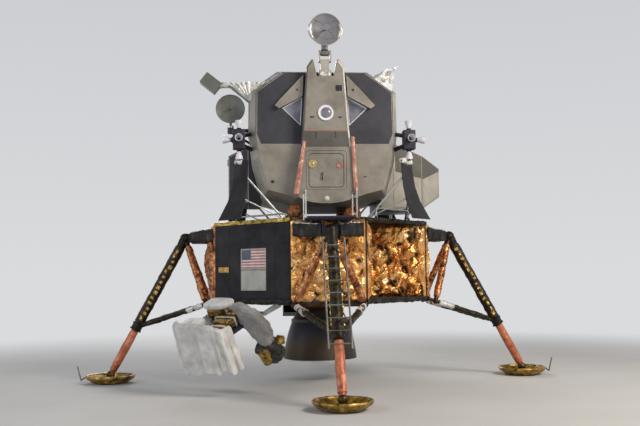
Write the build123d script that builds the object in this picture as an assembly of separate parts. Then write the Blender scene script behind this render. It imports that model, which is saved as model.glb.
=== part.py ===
"""Two-stage lunar lander, standing on its four legs.

Units are millimetres. X runs to the right of a person who faces the front, the front is -Y,
Z is up and the pads stand on z = 0. One STEP file per piece is written to parts/.
"""
from build123d import *
import math
import os

# Descent stage: an octagon with four arm faces and four corner faces
STAGE_APOTHEM = 2110      # centre to an arm face
ARM_HALF = 690            # half the width of an arm face
BASE_Z = 1600             # underside of the stage
DECK_Z = 3160             # top of the stage
PLATE = 40                # deck and base plates
SKIN = 30                 # side panels
LINING = 30               # walls of the open stowage bay
HOIST_BELOW = 430         # deck plate to the top of the hoist frame in the bay
NOZZLE_EXIT_Z = 430
NOZZLE_EXIT_R = 750
NOZZLE_WALL = 22
WELL_R = 520              # hole in the base that the engine sits in
WELL_DEPTH = 300

# Legs, in a frame with u straight out from the stage and v across the leg
APEX_OUT = 640            # stage face to the top of the strut
APEX_DROP = 260           # deck to the top of the strut
PAD_OUT = 1490            # top of the strut to the pad
PAD_BALL_Z = 165
PAD_R = 470
PAD_DEPTH = 150
BALL_R = 82
STRUT_R = 90
PISTON_DROP = 550         # stage underside to the end of the strut's tube
SIDE_STRUT_R = 42
BRACE_R = 46
BRACE_FOOT_OUT = 185      # stage face to the feet of the leg braces
BEAM_WIDE = 64
BEAM_DEEP = 215
BEAM_DROP = 105           # deck to the top of the outrigger
PROBE_R = 13

# Ladder and porch on the front leg
LADDER_WIDE = 380
LADDER_START = 430        # down the strut to the first rung
LADDER_GAP = 115          # strut surface to the ladder's plane
LADDER_END = 750          # last rung's least distance above the pad
RUNG_PITCH = 229
RAIL_R = 16
RUNG_R = 13
PORCH_HALF = 435
PORCH_LONG = 800
PORCH_DROP = 20           # deck to the porch top
PORCH_THICK = 30
HANDRAIL_HIGH = 460
HANDRAIL_R = 14

# Science bay in the rear right corner face, with a door hinged along its top
BAY_WIDE = 1000
BAY_DEEP = 450
BAY_LOW_Z = BASE_Z + 200
BAY_TOP_Z = DECK_Z - 260
DOOR_THICK = 24

# Fold-down equipment pallet on the front left corner face
PALLET_OUT = 400          # hinge line to corner face
PALLET_Z = BASE_Z - 160
PALLET_DROP = 25          # degrees below level as parked
PALLET_HALF = 640
PALLET_LONG = 980
PALLET_THICK = 50
ARM_THICK = 40

# Marking plates on the front left corner face
MARK_WIDE = 665
FLAG_HIGH = 400
NAME_HIGH = 385
MARK_THICK = 6
MARK_GAP = 10
MARK_ASIDE = 50
MARK_MID_Z = DECK_Z - 935  # between the two plates

# Ascent stage cabin: front outline as half of a symmetric polygon, x and height above the deck
CABIN_OUTLINE = [(795, 2790), (1300, 2430), (1310, 1640), (1245, 1150), (1077, 555), (754, 470), (560, 400)]
CABIN_MID = 1590          # height that the outline grows about
CABIN_GROW = 1.105        # full section over front section
FACE_Y = -1750            # front of the cabin face
SHOULDER_Y = -1300        # where the full section starts
CABIN_BACK_Y = 690
WALL = 60
SPLIT_HALF, SPLIT_Z = 1210, DECK_Z + 1425       # dark face above this line, grey cheeks below
SPLIT_SIDE_X, SPLIT_SIDE_Z = 1320, DECK_Z + 1690

# Crew hatch in the column, hinged on the -X side and opening inward
HATCH_WIDE = 760
HATCH_LOW_Z, HATCH_TOP_Z = DECK_Z + 530, DECK_Z + 1270
HATCH_LIP = 10
HATCH_THICK = 44
HATCH_R = 70
HATCH_HINGE_X = -HATCH_WIDE / 2 - 22
GAP = 6                   # between a moving piece and its neighbours

# Column that stands out of the middle of the face, half outline x and z from the top down
COLUMN_SIDE = [(352, DECK_Z + 2860), (HATCH_WIDE / 2 + 52, DECK_Z + 1670), (HATCH_WIDE / 2 + 165, DECK_Z + 460)]
COLUMN_Y = -1950
COLUMN_WALL = 30
COLUMN_ARC = 180          # how far the belly hangs below the feet
NOTCH_HALF, NOTCH_Z = 156, DECK_Z + 2680
HORN_IN, HORN_OUT, HORN_Z = 226, 260, DECK_Z + 3000

# Windows and the brows over them, right half, x outward from the column's widest part and height above the deck
WINDOW = [(-7, 2330), (378, 2108), (28, 1770)]
BROW = [(-27, 2735), (518, 2151), (438, 2090), (-7, 2330)]
BROW_DEEP = 85
PANE = 12

# Round tracking light on the column
LIGHT_Z = DECK_Z + 1980
LIGHT_R = 145

# Docking tunnel and the hatch below it
TUNNEL_R = 406.5
TUNNEL_WALL = 54
TUNNEL_BELOW = 116        # under the cabin roof
TUNNEL_ABOVE = 114        # over the cabin roof
TOP_HATCH_LAP = 23.5      # hatch radius over tunnel radius
TOP_HATCH_THICK = 40
TOP_LUG_R = 12.6          # hinge lugs under the tunnel, round the pin

# Tank covers on the cabin's sides, as rings of x, y0, y1, z0, z1 above the deck from the wall outward
RIGHT_COVER = [(-780, 880, 270, 1600), (2050, -750, 820, 270, 1340), (2480, -350, 450, 540, 1130)]
LEFT_COVER = [(-700, 860, 400, 1540), (1850, -450, 620, 480, 1380)]
AFT_OUTLINE = [(1000, 2440), (1200, 2240), (1200, 740), (960, 480)]
AFT_BACK_Y = 1960
AFT_BEVEL = 160

# Thruster clusters
CLUSTER_XY = 1625
CLUSTER_Z = DECK_Z + 1520
CLUSTER_HALF = 115
CLUSTER_TALL = 180
CLUSTER_ARM_R = 40
BELL_LONG = 190
BELL_EXIT_R = 72
BELL_THROAT_R = 28
BELL_WALL = 6

# Chutes below the clusters: out from the cluster's axis, down from the top edge, half width
CHUTE = [(-63, 0, 165), (-45, 230, 178), (-5, 500, 196), (80, 780, 232), (262, 1140, 300)]
CHUTE_THICK = 16

# Tracking radar on the column, nodding on a cross shaft and turning on a spigot
RADAR_Y = -1850
SHAFT_Z = DECK_Z + 3140
RADAR_R = 305
RADAR_UP = 400            # shaft to dish centre
RADAR_OUT = 150           # shaft to back of the dish
SHAFT_R = 22
SPIGOT_R = 26

# Steerable dish beside the cabin
DISH_X, DISH_Y, DISH_Z = -1790, -1250, DECK_Z + 2160
DISH_R = 275
DISH_DEEP = 60
DISH_OUT = 80

SEAT = 0.3                # gap between two pieces that are fastened to each other
PIN_GAP = 0.6             # gap round a hinge pin
PIN_R = 14                # hinge and trunnion pins
SMALL_PIN_R = 8           # hatch and door pins

# What follows from the sizes above
APEX_U, APEX_Z = STAGE_APOTHEM + APEX_OUT, DECK_Z - APEX_DROP
APEX_R = STRUT_R + 20
COLLAR_R = STRUT_R + 28
PISTON_R = STRUT_R - 28
PISTON_TOP_Z = BASE_Z - PISTON_DROP
PAD_U = APEX_U + PAD_OUT
PORCH_Z = DECK_Z - PORCH_DROP
CORNER_U = (STAGE_APOTHEM + ARM_HALF) / math.sqrt(2)     # centre to a corner face
MID_Z0, MID_Z1 = BASE_Z + PLATE, DECK_Z - PLATE
FACE_BACK_Y = FACE_Y + WALL
ROOF_Z = DECK_Z + CABIN_MID + (CABIN_OUTLINE[0][1] - CABIN_MID) * CABIN_GROW
CABIN_SIDE_X = max(x for x, z in CABIN_OUTLINE) * CABIN_GROW
LEG_ANGLES = (0, 90, 180, 270)
CORNER_ANGLES = (45, 135, 225, 315)


def prism_z(points, z0, z1):
    """Upright prism over points given as x, y."""
    return Solid.extrude(Face(Wire.make_polygon([(x, y, z0) for x, y in points])), Vector(0, 0, z1 - z0))


def prism_y(points, y0, y1):
    """Prism along Y over points given as x, z."""
    return Solid.extrude(Face(Wire.make_polygon([(x, y0, z) for x, z in points])), Vector(0, y1 - y0, 0))


def prism_x(points, x0, x1):
    """Prism along X over points given as y, z."""
    return Solid.extrude(Face(Wire.make_polygon([(x0, y, z) for y, z in points])), Vector(x1 - x0, 0, 0))


def box(x0, x1, y0, y1, z0, z1):
    return Solid.make_box(x1 - x0, y1 - y0, z1 - z0, Plane((x0, y0, z0)))


def rod(a, b, radius):
    a, b = Vector(*a), Vector(*b)
    return Solid.make_cylinder(radius, (b - a).length, Plane(origin=a, z_dir=b - a))


def cone(a, b, radius_a, radius_b):
    a, b = Vector(*a), Vector(*b)
    return Solid.make_cone(radius_a, radius_b, (b - a).length, Plane(origin=a, z_dir=b - a))


def ball(centre, radius):
    return Solid.make_sphere(radius, Plane(centre), -90, 90, 360)


def turned(profile):
    """Solid turned about Z from a closed profile of r, z points."""
    face = Face(Wire.make_polygon([(r, 0, z) for r, z in profile]))
    return Solid.revolve(face, 360, Axis.Z)


def turned_shell(outer, inner):
    """Thin shell turned about Z between two smooth curves through r, z points."""
    curves = [Edge.make_spline([Vector(r, 0, z) for r, z in points]) for points in (outer, inner)]
    ends = [Edge.make_line(curves[0] @ t, curves[1] @ t) for t in (0, 1)]
    return Solid.revolve(Face(Wire([curves[0], ends[1], curves[1], ends[0]])), 360, Axis.Z)


def lofted(*sections):
    """Straight-sided solid through closed rings of points."""
    return Solid.make_loft([Wire.make_polygon(ring) for ring in sections], ruled=True)


def pieces(shape):
    """Solids of a boolean result, largest first."""
    if isinstance(shape, (list, tuple)):
        found = [s for item in shape for s in item.solids()]
    else:
        found = list(shape.solids())
    return sorted(found, key=lambda s: -s.volume)


def cut(body, *tools):
    for tool in tools:
        body = pieces(body.cut(tool))[0]
    return body


def join(body, *others):
    return pieces(body.fuse(*others))[0]


def inset(points, distance):
    """Convex polygon moved inward by a distance, for points in either sense of turn."""
    count = len(points)
    area = sum(points[i][0] * points[(i + 1) % count][1] - points[(i + 1) % count][0] * points[i][1]
               for i in range(count))
    side = 1 if area > 0 else -1
    lines = []
    for i in range(count):
        (ax, ay), (bx, by) = points[i], points[(i + 1) % count]
        length = math.hypot(bx - ax, by - ay)
        nx, ny = -(by - ay) / length * side, (bx - ax) / length * side
        lines.append((ax + nx * distance, ay + ny * distance, bx - ax, by - ay))
    moved = []
    for i in range(count):
        ax, ay, dax, day = lines[i - 1]
        bx, by, dbx, dby = lines[i]
        t = ((bx - ax) * dby - (by - ay) * dbx) / (dax * dby - day * dbx)
        moved.append((ax + dax * t, ay + day * t))
    return moved


def turn(shape, degrees):
    return shape.rotate(Axis.Z, degrees)


def mirror_x(points):
    """Closed outline from its +X half, given from the top down."""
    return [(-x, z) for x, z in points] + [(x, z) for x, z in reversed(points)]


def above_deck(points):
    return [(x, DECK_Z + z) for x, z in points]


def rounded(shape, radius, axis=Axis.Y):
    return shape.fillet(radius, shape.edges().filter_by(axis))


def save(name, *solids):
    shape = solids[0] if len(solids) == 1 else Compound(list(solids))
    export_step(shape, os.path.join("parts", name + ".step"))


def octagon(inward=0):
    """Stage outline, starting at the left end of the front face and going round to the right."""
    a = STAGE_APOTHEM - inward
    h = ARM_HALF - inward * math.tan(math.radians(22.5))
    return [(-h, -a), (h, -a), (a, -h), (a, h), (h, a), (-h, a), (-a, h), (-a, -h)]


def door_axis():
    return CORNER_U - DOOR_THICK / 2, BAY_TOP_Z - GAP - DOOR_THICK / 2


def science_bay(extra=0):
    """Room for the science bay, with sockets for the door pins, as tools to cut with."""
    half = BAY_WIDE / 2
    hole = box(CORNER_U - BAY_DEEP, CORNER_U + extra, -half, half, BAY_LOW_Z, BAY_TOP_Z)
    u, z = door_axis()
    sockets = rod((u, -half - 27, z), (u, half + 27, z), SMALL_PIN_R + PIN_GAP)
    return turn(join(hole, sockets), 45)


def descent_stage():
    outer, inner = octagon(), octagon(SKIN)
    far = 2 * STAGE_APOTHEM
    bay = box(ARM_HALF, far, -far, -ARM_HALF, 0, 2 * DECK_Z)
    well = Solid.make_cylinder(WELL_R, WELL_DEPTH, Plane((0, 0, BASE_Z)))
    save("descent_body", cut(prism_z(inner, MID_Z0, MID_Z1), bay, well, science_bay(SKIN)))
    save("descent_base", cut(prism_z(outer, BASE_Z, MID_Z0), well))
    save("descent_deck", prism_z(outer, MID_Z1, DECK_Z))

    # piece name, octagon corners that its panels start at
    skins = [
        ("front_skin", [0]),
        ("left_skin", [6]),
        ("rear_skins", [2, 4]),
        ("corner_skins", [3, 5, 7]),
    ]
    for name, starts in skins:
        panels = []
        for i in starts:
            j = (i + 1) % 8
            panel = prism_z([outer[i], outer[j], inner[j], inner[i]], MID_Z0, MID_Z1)
            panels.append(cut(panel, science_bay(SKIN)) if i == 3 else panel)
        save(name, *panels)

    a, h, w = STAGE_APOTHEM, ARM_HALF, LINING
    plan = [(h, -a), (h + w, -a + w), (h + w, -h - w), (a - w, -h - w), (a, -h), (h, -h)]
    save("stowage_bay_lining", prism_z(plan, MID_Z0, MID_Z1))


def stowage_bay_frame():
    """Hoist frame left standing in the open bay."""
    x0, y0 = ARM_HALF + LINING, -ARM_HALF - LINING
    z0 = MID_Z0 + 20
    foot = [(x0 + 120, y0 - 90), (x0 + 900, y0 - 90), (x0 + 120, y0 - 870)]
    tops = [(x0 + 60, y0 - 45, MID_Z1 - HOIST_BELOW), (x0 + 700, y0 - 45, z0 + 280), (x0 + 60, y0 - 690, z0 + 280)]
    parts = [rod((*foot[i], z0), (*foot[(i + 1) % 3], z0), 20) for i in range(3)]
    parts += [rod((*foot[i], z0), tops[i], 18) for i in range(3)]
    parts += [rod(tops[1], tops[0], 16), rod(tops[2], tops[0], 16)]
    parts += [ball((*foot[i], z0), 20) for i in range(3)] + [ball(top, 18) for top in tops]
    save("stowage_bay_frame", join(parts[0], *parts[1:]))


def science_door():
    """Door panel with a raised frame, a pull and its two hinge pins."""
    half = BAY_WIDE / 2 - GAP
    low, top = BAY_LOW_Z + GAP, BAY_TOP_Z - GAP
    panel = box(CORNER_U - DOOR_THICK, CORNER_U, -half, half, low, top)
    recess = box(CORNER_U - 8, CORNER_U + 1, -half + 70, half - 70, low + 70, top - 70)
    ribs = [box(CORNER_U - 9, CORNER_U, y - 12, y + 12, low + 60, top - 60) for y in (-half / 3, half / 3)]
    pull = join(rod((CORNER_U + 30, -90, low + 35), (CORNER_U + 30, 90, low + 35), 9),
                *[rod((CORNER_U - 5, y, low + 35), (CORNER_U + 30, y, low + 35), 9) for y in (-90, 90)])
    u, z = door_axis()
    pins = [rod((u, s * (half - 20), z), (u, s * (half + GAP + 25), z), SMALL_PIN_R) for s in (-1, 1)]
    save("science_bay_door", turn(join(cut(panel, recess), *ribs, pull, *pins), 45))


def descent_nozzle():
    """Engine bell with its stiffening band, on the plug that fills the well."""
    # share of the length up from the exit, share of the exit radius
    curve = [(0, 1.0), (0.18, 0.955), (0.38, 0.875), (0.58, 0.755), (0.76, 0.60), (0.9, 0.43), (1.0, 0.30)]
    top_z = BASE_Z + WELL_DEPTH
    neck_z = top_z - WELL_DEPTH / 2
    long = neck_z - NOZZLE_EXIT_Z
    outer = [(NOZZLE_EXIT_R * r, NOZZLE_EXIT_Z + long * s) for s, r in curve]
    inner = [(r - NOZZLE_WALL, z) for r, z in outer]
    r = outer[-1][0]
    plug = turned([(r - NOZZLE_WALL, neck_z), (r - 8, neck_z - 12), (r + 30, neck_z - 12), (r + 70, neck_z + 40),
                   (r + 70, top_z), (90, top_z), (90, neck_z + 60)])
    band_r, band_z = outer[3][0], outer[3][1]
    band = turned([(band_r - 10, band_z - 30), (band_r + 26, band_z - 30), (band_r + 18, band_z + 30),
                   (band_r - 10, band_z + 30)])
    save("descent_nozzle", join(turned_shell(outer, inner), plug, band))


def landing_radar():
    """Tilted radar box on brackets under the rear of the stage."""
    body = rounded(Solid.make_box(560, 420, 190, Plane((-280, -210, -95))), 30, Axis.Z)
    body = body.rotate(Axis.X, -14).moved(Location((-420, 1560, BASE_Z - 250)))
    legs = [rod((x, y, BASE_Z - 250), (x, y, BASE_Z), 22) for x in (-620, -220) for y in (1440, 1680)]
    save("landing_radar", join(body, *legs))


def along_leg(distance, off=0, across=0):
    """Point on a leg, measured down the strut from the apex and out from its axis."""
    du, dz = PAD_U - APEX_U, PAD_BALL_Z - APEX_Z
    length = math.hypot(du, dz)
    du, dz = du / length, dz / length
    return (APEX_U + du * distance - dz * off, across, APEX_Z + dz * distance + du * off)


def down_to(z):
    """Distance down the strut at a height."""
    return (APEX_Z - z) / (APEX_Z - PAD_BALL_Z) * math.hypot(PAD_U - APEX_U, APEX_Z - PAD_BALL_Z)


def beam(side, grow=0):
    """One arm of an outrigger, an upright tapering box section from the stage edge to the apex."""
    # u, v, top z, depth
    ends = [(STAGE_APOTHEM - 60, side * (ARM_HALF + 5), DECK_Z - BEAM_DROP, BEAM_DEEP),
            (APEX_U, 0, APEX_Z + 80, BEAM_DEEP * 0.8)]
    du, dv = ends[1][0] - ends[0][0], ends[1][1] - ends[0][1]
    length = math.hypot(du, dv)
    half = BEAM_WIDE / 2 + grow
    nu, nv = -dv / length * half, du / length * half
    rings = []
    for u, v, top, deep in ends:
        low = top - deep - grow
        rings.append([(u + nu, v + nv, top + grow), (u - nu, v - nv, top + grow), (u - nu, v - nv, low),
                      (u + nu, v + nv, low)])
    return lofted(*rings)


def side_strut(foot, joint):
    """Tube that tapers to both of its ends."""
    a, b = Vector(*foot), Vector(*joint)
    long, r, thin = (b - a).length, SIDE_STRUT_R, SIDE_STRUT_R * 0.6
    tube = turned([(0, 0), (thin, 0), (r, 260), (r, long - 330), (thin, long - 90), (thin, long), (0, long)])
    return tube.moved(Plane(origin=a, z_dir=b - a).location)


def strut_collars(low, grow=0):
    """Two flanges at the end of the strut's tube, with the band between them that the side struts meet."""
    return [rod(along_leg(low - 150 - grow), along_leg(low - 120 + grow), COLLAR_R + grow),
            rod(along_leg(low - 125), along_leg(low - 20), COLLAR_R - 14 + grow),
            rod(along_leg(low - 25 - grow), along_leg(low + grow), COLLAR_R + grow)]


def footpad():
    """Dished pad with a rolled rim, a socket for the strut's ball and webs between the two."""
    r, d = PAD_R, PAD_DEPTH
    dish = turned([(0, 0), (r * 0.5, 0), (r * 0.74, d * 0.22), (r - 14, d - 34), (r, d - 26), (r, d - 8), (r - 8, d),
                   (r - 18, d - 4), (r - 26, d - 22), (r * 0.7, d * 0.22 + 26), (r * 0.47, 30), (r * 0.26, 30),
                   (r * 0.2, 70), (r * 0.17, 112), (0, 112)])
    webs = [turn(prism_y([(r * 0.15, 20), (r * 0.5, 20), (r * 0.66, d * 0.2 + 24), (r * 0.15, 96)], -5, 5), angle)
            for angle in range(30, 360, 60)]
    return join(dish, *webs).moved(Location((PAD_U, 0, 0)))


def leg_pieces():
    """Pieces of one leg: outrigger, braces, strut, piston, side struts and pad."""
    far = box(0, STAGE_APOTHEM + SEAT, -2 * STAGE_APOTHEM, 2 * STAGE_APOTHEM, 0, 2 * DECK_Z)
    apex = (APEX_U, 0, APEX_Z)
    apex_room = ball(apex, APEX_R + SEAT)
    pad = (PAD_U, 0, PAD_BALL_Z)
    low = down_to(PISTON_TOP_Z)
    joint = along_leg(low - 70)
    feet = [(STAGE_APOTHEM + BRACE_FOOT_OUT, s * (ARM_HALF - 50), BASE_Z - 30) for s in (-1, 1)]
    foot_r = BRACE_R + 14
    made = {}

    cap_r, cap_end = STRUT_R + 14, 190
    strut_room = join(rod(apex, along_leg(down_to(PAD_BALL_Z) / 2), STRUT_R + SEAT),
                      rod(apex, along_leg(cap_end + 2), cap_r + SEAT))
    made["outriggers"] = [cut(beam(s), far, apex_room, strut_room) for s in (-1, 1)]

    # the braces, their cross tube and the links to the stage are one welded frame
    room = [beam(s, 1) for s in (-1, 1)]
    frame = [rod(apex, foot, BRACE_R) for foot in feet] + [rod(feet[0], feet[1], BRACE_R * 0.7)]
    frame += [ball(foot, foot_r) for foot in feet]
    frame += [rod(foot, (STAGE_APOTHEM - 60, foot[1], BASE_Z + 60), BRACE_R * 0.7) for foot in feet]
    made["leg_braces"] = [cut(join(*frame), far, apex_room, strut_room, *room)]

    tube = rod(apex, along_leg(low), STRUT_R)
    cap = cone(along_leg(60), along_leg(cap_end), cap_r, STRUT_R)
    made["primary_struts"] = [join(ball(apex, APEX_R), tube, cap, *strut_collars(low))]
    made["leg_pistons"] = [cut(rod(along_leg(low), pad, PISTON_R), ball(pad, BALL_R + SEAT))]

    collar_room = [rod(along_leg(low - 500), along_leg(low + 200), STRUT_R + SEAT), *strut_collars(low, SEAT)]
    made["side_struts"] = [cut(side_strut(foot, joint), ball(foot, foot_r + SEAT), rod(apex, foot, BRACE_R + SEAT),
                               *collar_room) for foot in feet]
    made["footpads"] = [join(footpad(), ball(pad, BALL_R))]
    return made


def legs():
    made = leg_pieces()
    for name, solids in made.items():
        save(name, *[turn(s, angle) for angle in LEG_ANGLES for s in solids])


def contact_probes():
    """Bent feeler rods on every pad but the front one, each as points out, across and up."""
    reach = PAD_R + PROBE_R + SEAT
    rim_z = PAD_DEPTH - 14
    out = PAD_U + PAD_R
    aside = math.radians(70)
    # leg angle, points
    rods = [
        (0, [(PAD_U + reach, 0, rim_z), (out + 120, 30, 60), (out + 200, 60, 330)]),
        (180, [(PAD_U + reach, 0, rim_z), (out + 120, -30, 60), (out + 200, -60, 330)]),
        (90, [(PAD_U + reach * math.cos(aside), reach * math.sin(aside), rim_z),
              (out - 260, PAD_R + 170, 90), (out - 340, PAD_R + 390, 60)]),
    ]
    made = []
    for angle, points in rods:
        parts = [rod(points[i], points[i + 1], PROBE_R) for i in range(len(points) - 1)]
        parts += [ball(p, PROBE_R) for p in points]
        made.append(turn(join(parts[0], *parts[1:]), angle))
    save("contact_probes", *made)


def ladder():
    off = STRUT_R + LADDER_GAP
    low = down_to(PISTON_TOP_Z)
    first = LADDER_START
    count = 1 + int((down_to(PAD_BALL_Z) - LADDER_END - first) // RUNG_PITCH)
    last = first + RUNG_PITCH * (count - 1)
    half = LADDER_WIDE / 2
    parts = [rod(along_leg(first - 130, off, s * half), along_leg(last + 90, off, s * half), RAIL_R) for s in (-1, 1)]
    for i in range(count):
        at = first + RUNG_PITCH * i
        parts.append(rod(along_leg(at, off, -half), along_leg(at, off, half), RUNG_R))
    # stand-offs to the strut's tube, at the rungs nearest to its ends and its middle
    held = int((low - 260 - first) // RUNG_PITCH)
    for i in (0, held // 2, held):
        at = first + RUNG_PITCH * i
        parts += [rod(along_leg(at, off, v), along_leg(at, 30, v), 14) for v in (-45, 45)]
    whole = cut(join(parts[0], *parts[1:]), rod(along_leg(0), along_leg(2400), STRUT_R + SEAT))
    save("ladder", turn(whole, 270))


def porch():
    """Platform over the front outrigger, in the leg frame, with its rails."""
    u0, u1 = STAGE_APOTHEM + SEAT, STAGE_APOTHEM + PORCH_LONG
    low = PORCH_Z - PORCH_THICK
    plate = box(u0, u1, -PORCH_HALF, PORCH_HALF, low, PORCH_Z)
    plate = plate.fillet(60, [e for e in plate.edges().filter_by(Axis.Z) if e.center().X > u1 - 1])
    ribs = [box(u0 + at, u0 + at + 12, -PORCH_HALF + 30, PORCH_HALF - 30, low - 22, low + 2)
            for at in range(110, PORCH_LONG - 60, 115)]
    posts = [rod((STAGE_APOTHEM + at, s * v, APEX_Z), (STAGE_APOTHEM + at, s * v, PORCH_Z - 5), 22)
             for at, v in ((340, 330), (520, 136)) for s in (-1, 1)]
    room = [beam(s, SEAT) for s in (-1, 1)]
    # the posts are cut to stand on the beams below
    stand = [pieces(p.cut(*room)) for p in posts]
    tops = [max(found, key=lambda s: s.center().Z) for found in stand]
    save("porch_platform", turn(cut(join(plate, *ribs, *tops), *room), 270))

    # the rails stand beside the plate, fixed to its edges
    rails = []
    for s in (-1, 1):
        v = s * (PORCH_HALF + SEAT + HANDRAIL_R)
        ends = [(u0 + 90, v), (u1 - 80, v)]
        top = PORCH_Z + HANDRAIL_HIGH
        bars = [rod((*e, low), (*e, top), HANDRAIL_R) for e in ends]
        bars += [rod((*ends[0], top), (*ends[1], top), HANDRAIL_R)]
        bars += [ball((*e, top), HANDRAIL_R) for e in ends]
        edge = (PORCH_HALF + SEAT, PORCH_HALF + SEAT + 8)
        bars += [box(e[0] - 34, e[0] + 34, min(s * k for k in edge), max(s * k for k in edge), low, PORCH_Z) for e in ends]
        rails.append(turn(join(bars[0], *bars[1:]), 270))
    save("porch_handrails", *rails)


def chute_stations():
    """Chute front line as u, z and half width, from the top edge down."""
    axis = CLUSTER_XY * math.sqrt(2)
    top = CLUSTER_Z - CLUSTER_TALL - BELL_LONG - 20
    return [(axis + out, top - down, half) for out, down, half in CHUTE]


def plume_deflectors():
    """Bent black chutes that stand below the thruster clusters, and the struts that carry them."""
    line = chute_stations()
    rings = [[(u, -h, z), (u, h, z), (u - CHUTE_THICK, h, z), (u - CHUTE_THICK, -h, z)] for u, z, h in line]
    chute = lofted(*rings)
    back = [(u - CHUTE_THICK - SEAT, z) for u, z, h in line]
    front = prism_y(back + [(back[-1][0] + 900, back[-1][1]), (back[-1][0] + 900, back[0][1])], -500, 500)
    (u2, z2, _), (u3, z3, _) = line[1], line[3]
    foot = (CORNER_U - 230, 620, DECK_Z + 16)
    chutes, struts = [], []
    for angle in CORNER_ANGLES:
        chutes.append(turn(chute, angle))
        for s in (-1, 1):
            base = (foot[0], s * foot[1], foot[2])
            bars = join(rod((u2 + 14, s * 120, z2 - 60), base, 22), rod((u3 + 20, s * 150, z3 + 60), base, 12),
                        box(foot[0] - 50, foot[0] + 50, base[1] - 50, base[1] + 50, DECK_Z, DECK_Z + 24))
            struts.append(turn(cut(bars, front), angle))
    save("plume_deflectors", *chutes)
    save("deflector_struts", *struts)


def marking_plates():
    """Flag plate over a name plate, both thin and blank."""
    v0, v1 = MARK_ASIDE - MARK_WIDE / 2, MARK_ASIDE + MARK_WIDE / 2
    middle = MARK_MID_Z + MARK_GAP / 2
    flag = box(CORNER_U, CORNER_U + MARK_THICK, v0, v1, middle, middle + FLAG_HIGH)
    name = box(CORNER_U, CORNER_U + MARK_THICK, v0, v1, middle - MARK_GAP - NAME_HIGH, middle - MARK_GAP)
    save("marking_plates", turn(flag, 225), turn(name, 225))


def tilt_pallet(solid):
    """Swings a piece built on a level pallet down to its parked slope and into place."""
    hinge = Axis((CORNER_U + PALLET_OUT, 0, PALLET_Z), (0, 1, 0))
    return turn(solid.rotate(hinge, PALLET_DROP), 225)


def equipment_pallet():
    u0, z0 = CORNER_U + PALLET_OUT, PALLET_Z
    half = PALLET_HALF
    arm_v = half + 25 + ARM_THICK / 2

    arms = []
    for s in (-1, 1):
        y = s * arm_v
        arm = prism_y([(CORNER_U - 60, BASE_Z), (CORNER_U - 60, BASE_Z - 60), (u0 - 30, z0 - 50), (u0 + 30, z0 - 50),
                       (u0 + 30, z0 + 30), (u0 - 30, z0 + 30), (CORNER_U + 60, BASE_Z)],
                      y - ARM_THICK / 2, y + ARM_THICK / 2)
        arms.append(turn(cut(arm, rod((u0, y - 50, z0), (u0, y + 50, z0), PIN_R + PIN_GAP)), 225))
    save("pallet_arms", *arms)

    # a shallow tray with a rim round its edge
    tray = box(u0 + 40, u0 + PALLET_LONG, -half, half, z0 - PALLET_THICK / 2, z0 + PALLET_THICK / 2)
    under = [box(u0 + at, u0 + at + 250, v, v + 2 * half / 3 - 60, z0 - PALLET_THICK, z0 - 5)
             for at in (90, 385, 680) for v in (-half + 30, -half / 3 + 30, half / 3 + 30)]
    lugs = [box(u0 - 22, u0 + 60, min(s * half, s * (half - 60)), max(s * half, s * (half - 60)), z0 - 22, z0 + 22)
            for s in (-1, 1)]
    pins = [rod((u0, s * (half - 10), z0), (u0, s * (arm_v + 17), z0), PIN_R) for s in (-1, 1)]
    save("pallet_tray", tilt_pallet(join(cut(tray, *under), *lugs, *pins)))

    top = z0 + PALLET_THICK / 2
    # out from the hinge, across, long, wide, high
    cases = [
        (80, 120, 300, 420, 170),
        (80, -430, 260, 400, 200),
        (430, 60, 260, 480, 150),
        (720, 180, 220, 360, 120),
    ]
    made = [box(u0 + u, u0 + u + long, v, v + wide, top, top + high) for u, v, long, wide, high in cases]
    save("pallet_cases", *[tilt_pallet(rounded(c, 18, Axis.Z)) for c in made])

    soft_goods(u0, top)


def soft_goods(u0, top):
    """Folded blankets, packs and the drape as plain pillows, on the level pallet."""
    z0 = top - PALLET_THICK / 2
    edge = PALLET_HALF + SEAT
    clear = PALLET_HALF + 25 + ARM_THICK + 10
    # plan of a pillow of half size 1 with cut corners
    corners = ((-1, -0.7), (-0.7, -1), (0.7, -1), (1, -0.7), (1, 0.7), (0.7, 1), (-0.7, 1), (-1, 0.7))
    # node: rows of middle out, across and up, then the half sizes
    soft = {
        "pallet_blankets": [(230, -130, top + 280 + SEAT, 190, 330, 80),
                            (760, -390, top + 90 + SEAT, 200, 250, 90)],
        "end_drape": [(PALLET_LONG + 160 + SEAT, 60, z0 - 60, 160, 700, 430)],
    }
    made = {}
    for name, rows in soft.items():
        made[name] = []
        for u, v, z, du, dv, dz in rows:
            made[name].append(lofted(*[[(u0 + u + a * du * k, v + b * dv * k, z + h * dz) for a, b in corners]
                                       for h, k in ((-1, 0.72), (-0.35, 1), (0.35, 1), (1, 0.66))]))

    # two packs that hang beside the tray, shaped to pass the hinge arm: plan as out and across
    plan = [(200, edge), (540, edge), (600, clear + 100), (540, clear + 280), (20, clear + 280), (-60, clear + 120),
            (10, clear), (200, clear)]
    middle = (300, clear + 130)
    # low, high, share of the plan at the low end, the middle and the high end
    packs = [(-390, 320, 0.72, 1.0, 0.7), (-840, -390 - SEAT, 0.6, 0.95, 0.72)]
    made["pallet_packs"] = []
    for low, high, *shares in packs:
        rings = []
        for at, share in zip((0, 0.5, 1), shares):
            z = z0 + low + (high - low) * at
            rings.append([(u0 + middle[0] + (u - middle[0]) * share,
                           edge if v == edge else max(edge, middle[1] + (v - middle[1]) * share), z) for u, v in plan])
        made["pallet_packs"].append(lofted(*rings))
    for name, solids in made.items():
        save(name, *[tilt_pallet(s) for s in solids])


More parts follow.
